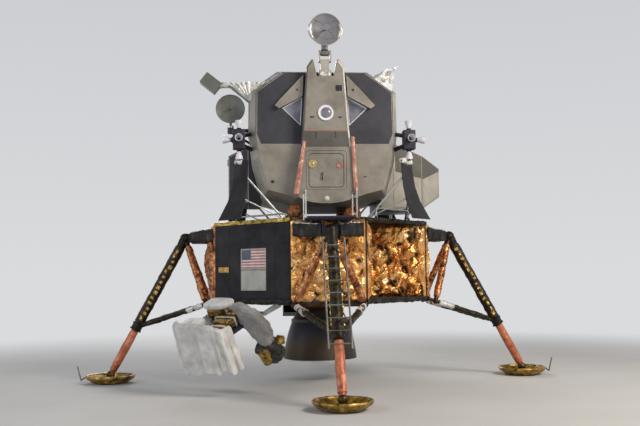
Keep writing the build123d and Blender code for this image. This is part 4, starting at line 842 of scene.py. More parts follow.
class LANDER_OT_leg_wraps(Maker, bpy.types.Operator):
    """Films wrapped round the struts, pistons, side struts, braces and outriggers of the four legs"""
    bl_idname = "lander.leg_wraps"
    bl_label = "Leg wraps"

    def make(self, scene):
        depth = scene.lander_sizes.wrap_depth
        joint = APEX + DOWN_LEG * (TUBE_END - 0.07)
        finish = {"strut_wraps": ("dark_strut_wrap", "strut_black"),
                  "strut_gold_patches": ("old_gold_film", "gold_foil"),
                  "piston_wraps": ("tight_orange_film", "copper_foil"),
                  "side_strut_wraps": ("dark_strut_wrap", "strut_black"),
                  "side_strut_end_films": ("silver_film", "bright_metal"),
                  "brace_wraps": ("copper_film", "copper_foil"),
                  "outrigger_wraps": ("black_oxide_film", "dark_foil"),
                  "outrigger_top_films": ("silver_film", "bright_metal")}
        made = {name: [] for name in finish}
        # group, start, end, sizes, cell, share of the wraps' depth, seed and, where it isn't round, power
        wraps = [("strut_wraps", APEX + DOWN_LEG * 0.2, APEX + DOWN_LEG * (TUBE_END - 0.16),
                  [(0, STRUT_WRAP, STRUT_WRAP), (1, STRUT_WRAP, STRUT_WRAP)], 0.08, 0.8, 1),
                 ("piston_wraps", APEX + DOWN_LEG * (TUBE_END + 0.012), PAD - DOWN_LEG * 0.10,
                  [(0, 0.066, 0.066), (0.5, 0.078, 0.078), (1, 0.066, 0.066)], 0.09, 0.6, 2)]
        for s in (-1, 1):
            foot = np.array(BRACE_FOOT) * (1, s, 1)
            run, brace = joint - foot, foot - APEX
            wraps += [("side_strut_wraps", foot + run * 0.06, joint - unit(run) * 0.14,
                       [(0, 0.034, 0.034), (0.13, 0.044, 0.044), (0.8, 0.044, 0.044), (1, 0.030, 0.030)],
                       0.075, 0.9, 10 * s + 30),
                      ("side_strut_end_films", foot + run * 0.05, foot + run * 0.27,
                       [(0, 0.04, 0.04), (1, 0.054, 0.054)], 0.06, 1.0, 7 * s + 21),
                      ("brace_wraps", APEX + brace * 0.14, APEX + brace * 0.94,
                       [(0, 0.048, 0.048), (0.3, 0.052, 0.054), (0.8, 0.058, 0.056), (1, 0.048, 0.048)],
                       0.075, 1.1, 20 * s + 50),
                      ("outrigger_wraps", (2.125, s * 0.62, 2.94), (2.615, s * 0.134, 2.905),
                       [(0, 0.042, 0.112), (1, 0.042, 0.097)], 0.08, 1.1, 5 * s + 80, 5),
                      ("outrigger_top_films", (2.16, s * 0.585, 3.062), (2.60, s * 0.15, 3.012),
                       [(0, 0.034, 0.010), (1, 0.034, 0.010)], 0.05, 0.7, 3 * s + 90)]
        for leg in LEGS:
            for group, start, end, sizes, cell, share, seed, *power in wraps:
                grid, height = wrapped(start, end, sizes, cell, depth * share, leg + seed, *power)
                made[group].append((spin(grid, leg), height))
            for s in (-1, 1):
                grid, height = strut_patches(s, STRUT_WRAP + depth * 0.8, leg + s)
                made["strut_gold_patches"].append((spin(grid, leg), height))
        for group, grids in made.items():
            crushed(group, grids, *finish[group], closed=group != "strut_gold_patches")


class LANDER_OT_pad_films(Maker, bpy.types.Operator):
    """Crushed film round the outside and over the rim of each footpad"""
    bl_idname = "lander.pad_films"
    bl_label = "Footpad films"

    def make(self, scene):
        # radius and height of the pad's outside from below to inside its rim, and the way out at each of them
        profile = np.array([(0.246, 0.008), (0.352, 0.034), (0.462, 0.114), (0.478, 0.138), (0.470, 0.156),
                            (0.448, 0.150), (0.436, 0.128), (0.332, 0.066), (0.26, 0.036)])
        out = np.array([(0, -1), (0.3, -1), (0.6, -0.8), (1, 0), (0, 1), (-0.7, 0.7), (-0.6, 0.8), (-0.4, 1),
                        (0, 1)])
        reach = way_along(profile)
        made = []
        for leg in LEGS:
            f = folds(7, 34, 3, leg + 7, wrap=True)
            s = np.linspace(0, reach[-1], f.shape[0])
            r, z, dr, dz = (np.interp(s, reach, values)[:, None] for values in (*profile.T, *out.T))
            height = spread(f[..., 2])
            lift = 0.003 + 0.020 * height * np.clip(z / 0.03, 0, 1)
            angle = turn(f.shape[1])
            r, z = r + lift * dr, np.maximum(z + lift * dz, 0.002)
            points = np.stack([PAD[0] + r * np.cos(angle), r * np.sin(angle), z + 0 * angle], -1)
            made.append((spin(points, leg), height))
        crushed("footpad_films", made, "dusty_gold_film", "gold_foil")


class LANDER_OT_markings(Maker, bpy.types.Operator):
    """Faded stripes and a plain canton on the upper plate, and raised frames round both plates"""
    bl_idname = "lander.markings"
    bl_label = "Markings"

    def make(self, scene):
        v0, v1, z0, z1, out = -0.2825, 0.3825, 2.23, 2.63, CORNER + 0.0065
        edge, canton, inset = 0.024, 0.245, 0.008
        split = v0 + edge + canton
        heights = np.linspace(z1 - edge, z0 + edge, 14)
        stripes = [(split if i < 7 else v0 + edge, v1 - edge, heights[i + 1], heights[i]) for i in range(13)]
        for name, fields in (("red", stripes[::2]), ("white", stripes[1::2]),
                             ("blue", [(v0 + edge, split, heights[7], heights[0])])):
            grids = [plate(spin([(out, a, low), (out, b, low), (out, b, high), (out, a, high)], 225))
                     for a, b, low, high in fields]
            surface("flag_" + name, grids, f"faded_{name}_ink", "marking", smooth=True)
        a, b, out, normal, frames = v0 + inset, v1 - inset, out - 0.0005, spin([(1, 0, 0)], 225)[0], []
        for low, high in ((z0 + inset, z1 - inset), (z0 - 0.395 + inset, z0 - 0.01 - inset)):
            p = spin([(out, a, low), (out, b, low), (out, b, high), (out, a, high)], 225)
            frames += [strip(p[i], p[(i + 1) % 4], normal, 0.014, 0.003) for i in range(4)]
        surface("marking_frames", frames, "blank_plate", "marking", closed=True)


class LANDER_OT_panel_seams(Maker, bpy.types.Operator):
    """Raised seams and rows of fasteners on the cabin, tank covers, aft bay and the stage's corner panels"""
    bl_idname = "lander.panel_seams"
    bl_label = "Panel seams"

    def make(self, scene):
        size = scene.lander_sizes
        middle = (0, 0, 4.75)
        full, back = cabin_ring(True, SHOULDER_Y), cabin_ring(True, BACK_Y)
        face = cabin_ring(False, FACE_BACK_Y)
        cabin, cover, corner, aft = [], [], [], []
        for i, across, up in ((0, 4, 2), (1, 4, 1), (12, 4, 2), (11, 4, 1)):
            cabin += panel_lines([full[i], back[i], back[i + 1], full[i + 1]], middle, across, up)
        for i in (0, 1, 2, 3, 9, 10, 11, 12):
            cabin += panel_lines([face[i], full[i], full[i + 1], face[i + 1]], middle, edge=0.02)
        cabin += panel_lines([full[0], back[0], back[-1], full[-1]], middle)

        for rings, s in ((RIGHT_COVER, 1), (LEFT_COVER, -1)):
            boxes = [np.array([(s * x, y0, DECK + a), (s * x, y1, DECK + a), (s * x, y1, DECK + b),
                               (s * x, y0, DECK + b)]) for x, y0, y1, a, b in rings]
            centre = (s * 1.2, 0.05, DECK + 0.9)
            for inner, outer in zip(boxes[:-1], boxes[1:]):
                for k in range(4):
                    m = (k + 1) % 4
                    cover += panel_lines([inner[k], inner[m], outer[m], outer[k]], centre, 2 - k % 2,
                                         edge=0.02)
            cover += panel_lines(boxes[-1], centre, 2, edge=0.02)

        half = np.array(AFT_HALF)
        ring = np.concatenate([half * (-1, 1), half[::-1]])
        near = np.stack([ring[:, 0], np.full(8, BACK_Y), DECK + ring[:, 1]], -1)
        far = near + (0, AFT_BEVEL_Y - BACK_Y, 0)
        for i in range(8):
            j = (i + 1) % 8
            aft += panel_lines([near[i], far[i], far[j], near[j]], (0, 1.2, 4.6), 2, 2 if i in (1, 5) else 1,
                               0.025)
        aft += [((x, AFT_Y, DECK + 0.72), (x, AFT_Y, DECK + 2.2), (0, 1, 0))
                for x in np.arange(-0.84, 0.9, 0.24)]

        # lines on a corner face by their two ends, each as across and height
        def on_corner(angle, ends):
            n = spin([(1, 0, 0)], angle)[0]
            return [(*spin([(CORNER, *a), (CORNER, *b)], angle), n) for a, b in ends]

        for angle in (225, 135):
            p = spin([(CORNER, -CORNER_HALF, BASE + 0.05), (CORNER, CORNER_HALF, BASE + 0.05),
                      (CORNER, CORNER_HALF, DECK - 0.11), (CORNER, -CORNER_HALF, DECK - 0.11)], angle)
            keep = panel_lines(p, (0, 0, 2.4), 3, 2, 0.04)
            if angle == 225:   # the plates stand where three of the lines would cross them
                wide = CORNER_HALF - 0.04
                keep = [keep[k] for k in (0, 3, 4, 6)] + on_corner(angle, [
                    *[((v, BASE + 0.08), (v, DECK - 0.14)) for v in (-0.60, 0.60)],
                    *[((a, 2.72), (b, 2.72)) for a, b in ((-wide, -0.62), (0.62, wide), (-0.60, 0.60))]])
            corner += keep
        corner += on_corner(45, [((-0.55, 1.74), (0.55, 1.74)), ((-0.55, 2.95), (0.55, 2.95)),
                                 ((-0.56, 1.70), (-0.56, 3.03)), ((0.56, 1.70), (0.56, 3.03))])

        for name, finish, slot, lines in (("cabin_seams", "anodised_grey", "grey_panel", cabin),
                                          ("cover_seams", "anodised_grey", "grey_panel", cover),
                                          ("corner_seams", "black_heat_paint", "black_panel", corner),
                                          ("aft_seams", "anodised_grey", "grey_panel", aft)):
            high = 0.003
            strips = np.array([strip(a, b, n, size.seam_width, high) for a, b, n in lines])
            top = [tuple(np.asarray(p) + np.asarray(n) * (high - 0.0002) for p in (a, b)) + (n,)
                   for a, b, n in lines]
            surface(name, [strips, studs(top, size.stud_pitch, size.stud_radius)], finish, slot, closed=True)


class LANDER_OT_face_trim(Maker, bpy.types.Operator):
    """Trim lines and marks on the dark face, the cheeks and the column, and edge strips of painted highlight
    and painted shade down the column
    """
    bl_idname = "lander.face_trim"
    bl_label = "Face trim"

    def make(self, scene):
        face, column = FACE_Y, COLUMN_Y
        ring = cabin_ring(False, face) * (0.985, 1, 1)
        pale = [strip(ring[i] + (0, 0, dz), ring[i + 1] + (0, 0, dz), FRONT, 0.014, 0.004)
                for i, dz in ((0, -0.012), (1, 0.0), (12, -0.012), (11, 0.0))]
        pale += [strip((a, face, 4.578), (b, face, 4.578), FRONT, 0.016, 0.005)
                 for a, b in ((0.50, 1.19), (-1.19, -0.60))]
        for s in (-1, 1):
            brow = np.array([(s * x, face - 0.085, z) for x, z in BROW])
            brow += (brow.mean(0) - brow) * 0.06
            pale += [strip(brow[i], brow[(i + 1) % 4], FRONT, 0.012, 0.003) for i in range(4)]
        surface("face_trim", pale, "anodised_pale", "grey_panel", closed=True)

        z = 4.813
        half = column_half(z) - 0.012
        red = strip((-half, column, z), (half, column, z), FRONT, 0.024, 0.004)
        surface("column_red_line", [red], "brick_red_paint", "grey_panel", closed=True)
        dark = [strip((x, column, 4.665), (x, column, 4.79), FRONT, 0.02, 0.003) for x in (-0.19, 0.18)]
        # start and end across, depth, height, width and rise of each line
        dark += [strip((a, y, z), (b, y, z), FRONT, wide, high) for a, b, y, z, wide, high in (
            (0.19, 0.31, column, 5.614, 0.115, 0.004), (0.72, 0.78, face, 3.96, 0.022, 0.003),
            (-0.30, -0.22, column, 5.06, 0.03, 0.003), (0.24, 0.30, column, 5.06, 0.03, 0.003))]
        dot = aimed(lathe([(0.032, 0), (0.03, 0.006), (0, 0.008)], 16), (-1.0, face, 3.87), FRONT)
        surface("face_dark_marks", [np.array(dark), dot], "black_interior", "dark_panel", closed=True)
        v, z = np.meshgrid(np.linspace(-1, 1, 20), np.linspace(4.50, 4.795, 8))
        band = np.stack([v * (np.vectorize(column_half)(z) - 0.03), np.full_like(v, column - 0.0015), z], -1)
        surface("column_band", [band], "anodised_dark", "grey_panel", smooth=True)

        # the column's side faces show as strips down its front edges: a cream painted highlight on the right,
        # a dark painted shade on the left
        right = [(0.247, 6.13), (0.338, 6.0), (0.418, 4.83), (0.452, 4.50)]
        for name, sign, finish, slot, width in (
                ("column_right_highlight_strip", 1, "cream_enamel", "white_paint", 0.034),
                ("column_left_shade_strip", -1, "anodised_dark", "grey_panel", 0.028)):
            line = [strip((sign * a[0], column, a[1]), (sign * b[0], column, b[1]), FRONT, width, 0.008)
                    for a, b in zip(right[:-1], right[1:])]
            surface(name, line, finish, slot, closed=True)
        spot = aimed(lathe([(0.05, 0), (0.048, 0.006), (0.0, 0.012)], 20), (0, column, 3.53), FRONT)
        surface("belly_spot", [spot], "cream_enamel", "white_paint", smooth=True, closed=True)

        lines = [((s * (column_half(a) - 0.05), column, a), (s * (column_half(b) - 0.05), column, b), FRONT)
                 for a, b in ((6.0, 4.84), (4.78, 4.50)) for s in (-1, 1)]
        lines += [((0.06 - column_half(z), column, z), (column_half(z) - 0.06, column, z), FRONT)
                  for z in (5.80, 5.33, 4.87, 3.60)]
        lines += [((s * a, face, za), (s * b, face, zb), FRONT) for s in (-1, 1) for a, za, b, zb in (
            (1.15, 4.52, 1.0, 3.78), (0.62, 4.52, 1.15, 4.52), (0.70, 3.80, 1.0, 3.78))]
        heads = studs(lines, scene.lander_sizes.stud_pitch * 0.8, scene.lander_sizes.stud_radius * 0.85)
        surface("column_studs", [heads], "anodised_grey", "grey_panel", closed=True)


class LANDER_OT_windows(Maker, bpy.types.Operator):
    """Bevelled frames round the two triangular panes"""
    bl_idname = "lander.windows"
    bl_label = "Window frames"

    def make(self, scene):
        frames = []
        for s in (-1, 1):
            outer = np.array([(s * x, 0, z) for x, z in WINDOW])
            middle = outer.mean(0)
            rings = [middle + (outer - middle) * share + (0, FACE_Y + y, 0)
                     for share, y in ((1.0, 0.004), (0.985, -0.004), (0.90, -0.004), (0.86, 0.036))]
            # the left frame's rings run the other way, so that both face out
            frames.append(np.stack([np.concatenate([p, p[:1]]) for p in rings])[:, ::s])
        surface("window_frames", frames, "white_thermal_paint", "white_paint", seam=True)


class LANDER_OT_hatch_details(Maker, bpy.types.Operator):
    """Border, vent, valve cover and handle on the front hatch"""
    bl_idname = "lander.hatch_details"
    bl_label = "Hatch details"

    def make(self, scene):
        y = HATCH_Y
        low, high, half, r = 3.745, 4.375, 0.325, 0.06
        quarter = np.linspace(0, np.pi / 2, 6)
        corners = [(half - r, high - r, 0), (-half + r, high - r, 1), (-half + r, low + r, 2),
                   (half - r, low + r, 3)]
        border = [(cx + r * math.cos(q + k * np.pi / 2), y - 0.001, cz + r * math.sin(q + k * np.pi / 2))
                  for cx, cz, k in corners for q in quarter]
        grip = smooth_path([(-0.08, y + dy, z) for dy, z in ((0.002, 3.885), (-0.022, 3.90), (-0.026, 3.95),
                                                             (-0.022, 4.0), (0.002, 4.015))], 6)
        vent = lathe([(0.082, 0), (0.082, 0.010), (0.070, 0.016), (0.056, 0.012), (0.030, 0.012),
                      (0.026, 0.018), (0, 0.020)], 28)
        valve = lathe([(0.068, 0), (0.066, 0.008), (0.050, 0.012), (0.046, 0.008), (0, 0.009)], 28)
        for name, grid, finish, slot in (
                ("hatch_border", tube([*border, border[0]], 0.007), "anodised_dark", "grey_panel"),
                ("hatch_vent", aimed(vent, (-0.262, y, 4.18), FRONT), "brass_cover", "gold_foil"),
                ("hatch_valve_cover", aimed(valve, (0.25, y, 4.16), FRONT), "brick_red_paint", "copper_foil"),
                ("hatch_handle", tube(grip, 0.010, 10), "black_interior", "dark_panel")):
            surface(name, [grid], finish, slot, "front_hatch", smooth=True, closed=True)


class LANDER_OT_light_and_aerials(Maker, bpy.types.Operator):
    """Lens of the tracking light, feed legs, rims and ribs of the two dishes, and white rolls on the radar's
    rim as painted highlight of its lit edges
    """
    bl_idname = "lander.light_and_aerials"
    bl_label = "Light and aerials"

    def make(self, scene):
        lens = lathe([(0.098, 0), (0.09, 0.012), (0.06, 0.022), (0, 0.026)], 32)
        surface("tracking_lens", [aimed(lens, (0, COLUMN_Y - 0.011, 5.14), FRONT)], "lamp_glass", "glass",
                smooth=True, closed=True)
        # name, dish centre, radius, depth, feed reach, body, slot, finish of the rim
        for name, (x, y, z), radius, deep, reach, body, slot, finish in (
                ("radar", (0, -2.0, RADAR_Z), 0.305, 0.07, 0.205, "radar_dish", "white_paint",
                 "anodised_pale"),
                ("relay", (-1.79, -1.33, 5.32), 0.275, 0.06, 0.175, "antenna_dish", "grey_panel",
                 "anodised_green")):

            def round_dish(q, r, along):
                """Point at an angle and a radius round the dish's axis, at a place along Y."""
                return np.stack(np.broadcast_arrays(x + r * np.cos(q), along, z + r * np.sin(q)), -1)

            r = np.linspace(0.12, 0.97, 9) * radius
            legs = []
            for q in np.radians((45, 135, 225, 315)):
                foot = round_dish(q, radius * 0.8, y - deep * 0.64 - 0.012)
                tip = round_dish(q, 0.03, y - reach)
                knee = (foot + (x, 0, z)) / 2
                knee[1] = y - deep - reach * 0.5
                legs.append(tube([foot, knee, tip], 0.006))
            for part, grids, look in (
                    ("_rim", [tube(round_dish(turn(49), radius * 0.985, y - deep - 0.008), 0.009)], finish),
                    ("_feed_legs", legs, "dull_tube"),
                    ("_back_ribs", [tube(round_dish(q, r, y - deep * (r / radius) ** 2 + 0.003), 0.007, 6)
                                    for q in np.radians(np.arange(22.5, 360, 45))], "anodised_dark")):
                surface(name + part, grids, look, slot, body, smooth=True, closed=True)
        # white rolls on the right and left of the radar rim stand for its lit edges: painted highlight
        rolls = []
        for middle, seed in ((-4, 131), (187, 132)):
            q = np.radians(np.linspace(middle - 32, middle + 32, 5))
            arc = np.stack([0.292 * np.cos(q), np.full(5, -2.055), RADAR_Z + 0.292 * np.sin(q)], -1)
            rolls.append(sack(arc, [(0, 0.03, 0.03), (0.5, 0.036, 0.04), (1, 0.03, 0.03)], 0.06, 0.5, seed))
        crushed("radar_rim_highlight_rolls", rolls, "silver_film", "bright_metal", body="radar_dish")


class LANDER_OT_cabin_films(Maker, bpy.types.Operator):
    """Films on the hatch bars, the cabin's feet and notch, and facets of the right tank cover darkened as
    painted shade
    """
    bl_idname = "lander.cabin_films"
    bl_label = "Cabin films"

    def make(self, scene):
        y = COLUMN_Y - 0.027
        bars = [wrapped((-0.4085, y, 4.60), (-0.577, y, 3.60), [(0, 0.024, 0.024), (1, 0.025, 0.046)], 0.07,
                        0.016, 141),
                wrapped((0.498, y, 4.68), (0.546, y, 3.62), [(0, 0.024, 0.028), (1, 0.025, 0.034)], 0.07,
                        0.016, 142)]
        crushed("hatch_bar_films", bars, "salmon_film", "copper_foil")
        feet = [wrapped((x, y, DECK + 0.005), (x, y, DECK + 0.30),
                        [(0, 0.125, 0.125), (0.5, 0.11, 0.12), (1, 0.075, 0.075)], 0.10, 0.06, seed, 3.5, 0.02)
                for x, y, seed in ((-0.55, -1.24, 144), (0.55, -1.24, 145), (-0.55, 0.56, 146),
                                   (0.55, 0.56, 147))]
        crushed("foot_films", feet, "copper_film", "copper_foil")
        crushed("notch_film", [blob((0, -1.935, 5.885), (0.10, 0.03, 0.05), 3.0, 0.035, 0.05, 149)],
                "silver_film",
                "bright_metal")
        # two facets of the right tank cover, laid over it in a darker grey as painted shade
        (_, ya, _, _, za), (xb, yb, _, _, zb), (xc, yc, _, _, zc) = RIGHT_COVER
        facets = [[(xb, yb, 0.86), (xc, yc, zc - 0.06), (xc, yc, zc - 0.01), (xb, yb, zb - 0.01)],
                  [(1.50, ya + 0.005, 1.02), (xb - 0.01, yb, 0.88), (xb - 0.01, yb, zb - 0.01),
                   (1.50, ya + 0.005, za - 0.03)]]
        surface("cover_painted_shade_facets", [plate(np.array(p) + (0, 0, DECK), 0.004, 0.004) for p in facets],
                "anodised_dark", "grey_panel", smooth=True)


class LANDER_OT_bracket_films(Maker, bpy.types.Operator):
    """White crushed films on the brackets at the cabin's two shoulders and at the tops of the front chutes"""
    bl_idname = "lander.bracket_films"
    bl_label = "Bracket films"

    def make(self, scene):
        # a fan on each side of the left bracket, pleated from its apex to the line of its two upper corners
        apex = np.array([-1.41, 0, 5.455])
        left, right = np.array([-1.86, 0, 5.83]), np.array([-1.03, 0, 5.83])
        fans = []
        for y, side, seed in ((-1.425, -1, 91), (-1.155, 1, 92)):
            f = folds(6, 9, 3, seed)
            r = np.linspace(0.05, 1, f.shape[0])[:, None, None]
            a = np.linspace(0, 1, f.shape[1])[None, :]
            pleat = np.abs((a * 8) % 1 - 0.5) * 2
            height = spread(0.6 * pleat + 0.4 * spread(f[..., 2]))
            edge = np.clip(np.minimum(a, 1 - a) * 12, 0, 1)
            lift = (0.006 + 0.05 * height * r[..., 0] * edge) * side
            top = left + (right - left) * a[..., None] + 0.03 * UP * (f[..., 1:2] * 0.4)
            fan = apex * (1 - r) + top * r + np.stack([0 * lift, y + lift, 0 * lift], -1)
            fans.append((fan[:, ::-side], height[:, ::-side]))
        crushed("left_bracket_film", fans, "silver_film", "bright_metal", closed=False)
        bar = wrapped((-1.02, -1.18, 5.815), (-2.0, -1.18, 5.825), [(0, 0.04, 0.04), (1, 0.04, 0.04)], 0.07,
                      0.03, 93)
        crushed("left_boom_film", [bar], "silver_film", "bright_metal")

        arm = wrapped((0.98, -1.365, 5.83), (1.36, -1.365, 6.06),
                      [(0, 0.125, 0.05), (0.5, 0.13, 0.085), (0.9, 0.10, 0.05), (1, 0.05, 0.03)], 0.08, 0.06,
                      94)
        tail = wrapped((1.33, -1.365, 6.02), (1.30, -1.365, 5.72), [(0, 0.10, 0.05), (1, 0.08, 0.03)], 0.07,
                       0.05, 95)
        crushed("right_bracket_film", [arm, tail], "silver_film", "bright_metal")

        out, up = CHUTE_TOP
        rolls = []
        for angle, end, radius, seed in ((315, 0.17, 0.045, 96), (225, 0.02, 0.028, 97)):
            grid, height = wrapped((out, -0.17, up), (out, end, up - 0.01),
                                   [(0, 0.02, 0.02), (0.5, radius, radius), (1, 0.02, 0.02)], 0.06, 0.035,
                                   seed)
            rolls.append((spin(grid, angle), height))
        crushed("chute_top_films", rolls, "silver_film", "bright_metal")


class LANDER_OT_deck_bars(Maker, bpy.types.Operator):
    """Bent tubes that stand on the deck beside the two front corners, on round feet"""
    bl_idname = "lander.deck_bars"
    bl_label = "Deck bars"

    def make(self, scene):
        foot = lathe([(0.045, 0), (0.043, 0.012), (0.026, 0.016), (0.022, 0.05), (0, 0.052)], 14)
        bars, feet = [], []
        for a, b, z in (((-1.62, -1.10), (-0.77, -1.95), 3.25), ((0.96, -1.76), (1.68, -1.04), 3.36)):
            a, b = np.array([*a, z]), np.array([*b, z])
            run, down = unit(b - a), np.array([0, 0, DECK + 0.004 - z])
            start, end = a + down - run * 0.03, b + down + run * 0.03
            path = smooth_path([start, a + down * 0.4 - run * 0.02, a + run * 0.04, (a + b) / 2,
                                b - run * 0.04, b + down * 0.4 + run * 0.02, end], 8)
            bars.append(tube(path, 0.017, 10))
            feet += [aimed(foot, p, UP) for p in (start, end)]
        surface("deck_bars", bars, "drawn_tube", "bright_metal", smooth=True, closed=True)
        surface("deck_bar_feet", feet, "dull_dark_metal", "dark_panel", smooth=True, closed=True)


class LANDER_OT_porch_and_tunnel(Maker, bpy.types.Operator):
    """Raised treads on the porch, bolts round the tunnel's flange and collars on the thruster bells"""
    bl_idname = "lander.porch_and_tunnel"
    bl_label = "Porch, tunnel and bells"

    def make(self, scene):
        treads = [strip((-0.41, -y, 3.14), (0.41, -y, 3.14), UP, 0.022, 0.004)
                  for y in np.arange(2.17, 2.86, 0.045)]
        surface("porch_treads", treads, "dull_tube", "bright_metal", closed=True)
        dome, ring = lathe(STUD, 6) * 0.010, 0.49
        bolts = [aimed(dome, (ring * math.cos(q), ring * math.sin(q), 6.1), UP) for q in turn(33)[:-1]]
        surface("tunnel_bolts", bolts, "dull_dark_metal", "dark_panel", closed=True)
        collar = lathe([(0.030, 0.0), (0.062, 0.0), (0.062, 0.018), (0.046, 0.022), (0.040, 0.045),
                        (0.034, 0.045)], 16)
        collars = []
        for sx, sy in ((-1, -1), (-1, 1), (1, -1), (1, 1)):
            centre = np.array([sx * CLUSTER, sy * CLUSTER, 4.68])
            collars += [aimed(collar, centre + np.array(d) * reach, d) for d, reach in (
                ((0, 0, 1), 0.18), ((0, 0, -1), 0.18), ((sx, 0, 0), 0.115), ((0, sy, 0), 0.115))]
        surface("bell_collars", collars, "dull_dark_metal", "dark_panel", smooth=True, closed=True)


class LANDER_OT_cargo(Maker, bpy.types.Operator):
    """Film-wrapped cases, blankets, bags and the white drape on the fold-down pallet"""
    bl_idname = "lander.cargo"
    bl_label = "Pallet cargo"

    def make(self, scene):
        def load(name, made, finish, slot, **more):
            """Crushed piece that rides the pallet, from grids in the pallet's own directions."""
            return crushed(name, [(on_pallet(grid), height) for grid, height in made], finish, slot,
                           body="equipment_pallet", **more)

        tray, above = on_pallet([(0.3, 0, 0.03), (0.3, 0, 1.03)])
        cases = [blob(place, half, 5.0, 0.028, 0.09, seed) for place, half, seed in (
            ((0.23, 0.33, 0.112), (0.156, 0.216, 0.088), 101),
            ((0.21, -0.23, 0.127), (0.136, 0.206, 0.103), 102),
            ((0.56, 0.30, 0.102), (0.136, 0.246, 0.078), 103),
            ((0.83, 0.36, 0.087), (0.116, 0.186, 0.063), 104))]
        piece = load("wrapped_cases", cases, "dusty_gold_film", "gold_foil")
        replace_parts(piece, "pallet_cases")
        blankets = [blob((0.23, -0.13, 0.295), (0.18, 0.32, 0.065), 3.4, 0.02, 0.13, 111),
                    blob((0.76, -0.39, 0.118), (0.19, 0.24, 0.085), 4.5, 0.022, 0.13, 112)]
        piece = load("folded_blankets", blankets, "white_glass_cloth", "white_cloth", smooth=True)
        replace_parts(piece, "pallet_blankets")
        # the bag crosses the hinge arm's line well out from the hinge, and goes down to the dark pack
        bag = sack([(0.30, 0.26, 0.30), (0.33, 0.48, 0.27), (0.37, 0.68, 0.13), (0.36, 0.84, -0.06),
                    (0.32, 0.89, -0.30), (0.29, 0.89, -0.52)],
                   [(0, 0.04, 0.13), (0.2, 0.10, 0.15), (0.42, 0.24, 0.16), (0.62, 0.25, 0.17),
                    (0.85, 0.19, 0.16), (1, 0.17, 0.15)], 0.17, 0.5, 113, levels=4, fade=0.58)
        piece = load("balloon_bag", [bag], "grey_bag_cloth", "grey_cloth", smooth=True)
        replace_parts(piece, "pallet_packs")
        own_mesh(piece)
        pack = sack([(0.28, 0.88, -0.36), (0.28, 0.87, -0.6), (0.29, 0.86, -0.83)],
                    [(0, 0.24, 0.19), (0.5, 0.27, 0.20), (1, 0.23, 0.17)], 0.13, 0.62, 114, levels=4,
                    fade=0.6)
        piece = load("dark_pack", [pack], "dusty_pack_cloth", "grey_cloth")
        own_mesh(piece)
        ends = [blob((0.16, 1.03, -0.46), (0.10, 0.07, 0.08), 2.6, 0.06, 0.05, 115),
                blob((0.48, 0.92, -0.62), (0.07, 0.11, 0.13), 3.0, 0.06, 0.06, 116)]
        piece = load("pack_film_ends", ends, "dusty_gold_film", "gold_foil")
        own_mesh(piece)

        # straps over the cases, a hair above their film: out, start and end across, and height of each
        straps, half_strap = [], (0.022, 0, 0)
        for u, v0, v1, w in ((0.23, 0.12, 0.54, 0.216), (0.21, -0.43, -0.03, 0.246),
                             (0.56, 0.06, 0.54, 0.196), (0.83, 0.18, 0.54, 0.166)):
            line = smooth_path([(u, v0 - 0.012, 0.03), (u, v0 - 0.010, w - 0.03), (u, v0 + 0.03, w),
                                (u, (v0 + v1) / 2, w + 0.006), (u, v1 - 0.03, w), (u, v1 + 0.010, w - 0.03),
                                (u, v1 + 0.012, 0.03)], 5)
            straps.append(on_pallet(np.stack([line - half_strap, line + half_strap], 1)))
        piece = surface("case_straps", straps, "white_glass_cloth", "white_cloth", "equipment_pallet",
                        smooth=True)
        wall = piece.modifiers.new("Webbing thickness", "SOLIDIFY")
        wall.thickness, wall.offset = 0.003, 1

        # the drape hangs round the pallet's end and its right corner. Rows run down a profile of reach and
        # height; columns run between two plan lines of out and across, and pleats grow towards the hem.
        plan = smooth_path([(0.95, -0.62, 0), (1.17, -0.61, 0), (1.25, -0.42, 0), (1.26, 0.0, 0),
                            (1.25, 0.45, 0), (1.20, 0.66, 0), (1.04, 0.745, 0), (0.80, 0.76, 0)], 14)
        inner = smooth_path([(0.94, -0.52, 0), (0.985, -0.50, 0), (0.99, -0.35, 0), (0.99, 0.0, 0),
                             (0.99, 0.35, 0), (0.985, 0.56, 0), (0.93, 0.61, 0), (0.80, 0.63, 0)], 14)
        f = folds(7, 15, 4, 121)
        t, s = np.linspace(0, 1, f.shape[0])[:, None], np.linspace(0, 1, f.shape[1])[None, :]
        rows = (0, 0.1, 0.25, 0.4, 1)
        way = np.interp(t, rows, (0, 0.25, 0.62, 0.8, 1.02))
        fall = np.interp(t, rows, (0.26, 0.315, 0.27, 0.09, -0.54))
        hem = 0.05 * np.sin(s * 11.0 + 0.6) + 0.03 * np.sin(s * 27.0 + 1.0)
        pleat = sum(share * np.abs((s * n + 0.3 * np.sin(7 * s + n) + slant * t) % 1 - 0.5)
                    for n, slant, share in ((5.3, 0.05, 1.0), (8.9, -0.35, 0.6), (14.7, 0.3, 0.25)))
        height = spread(spread(pleat) * (0.25 + 0.75 * t) + 0.22 * spread(f[..., 2]))
        push = -0.13 * (1 - height) * np.clip(t * 2, 0, 1)
        place = np.linspace(0, 1, len(plan))
        near, far = ([np.interp(s, place, line[:, k]) for k in (0, 1)] for line in (inner, plan))
        u, v = (a + (b - a) * way for a, b in zip(near, far))
        away = unit(np.stack([u - 0.80, (v - 0.06) * 0.6], -1))
        # towards the right corner the drape's top falls lower, its hem hardly
        slope = np.clip((s - 0.45) / 0.5, 0, 1)
        fall = fall - 0.15 * slope ** 2 * (3 - 2 * slope) * (1 - 0.8 * t)
        w = fall + (hem - 0.03) * t ** 2 + 0.012 * f[..., 1]
        points = np.stack([u + push * away[..., 0], v + push * away[..., 1] + 0.01 * f[..., 0], w], -1)
        piece = load("end_drape_cloth", [(points, height)], "white_glass_cloth", "white_cloth", closed=False,
                     smooth=True)
        wall = piece.modifiers.new("Cloth thickness", "SOLIDIFY")
        wall.thickness, wall.offset = 0.004, 0
        # cut to go along the pallet's end and round both its corners, and to fall from its top to the hem
        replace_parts(piece, "end_drape")
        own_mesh(piece)


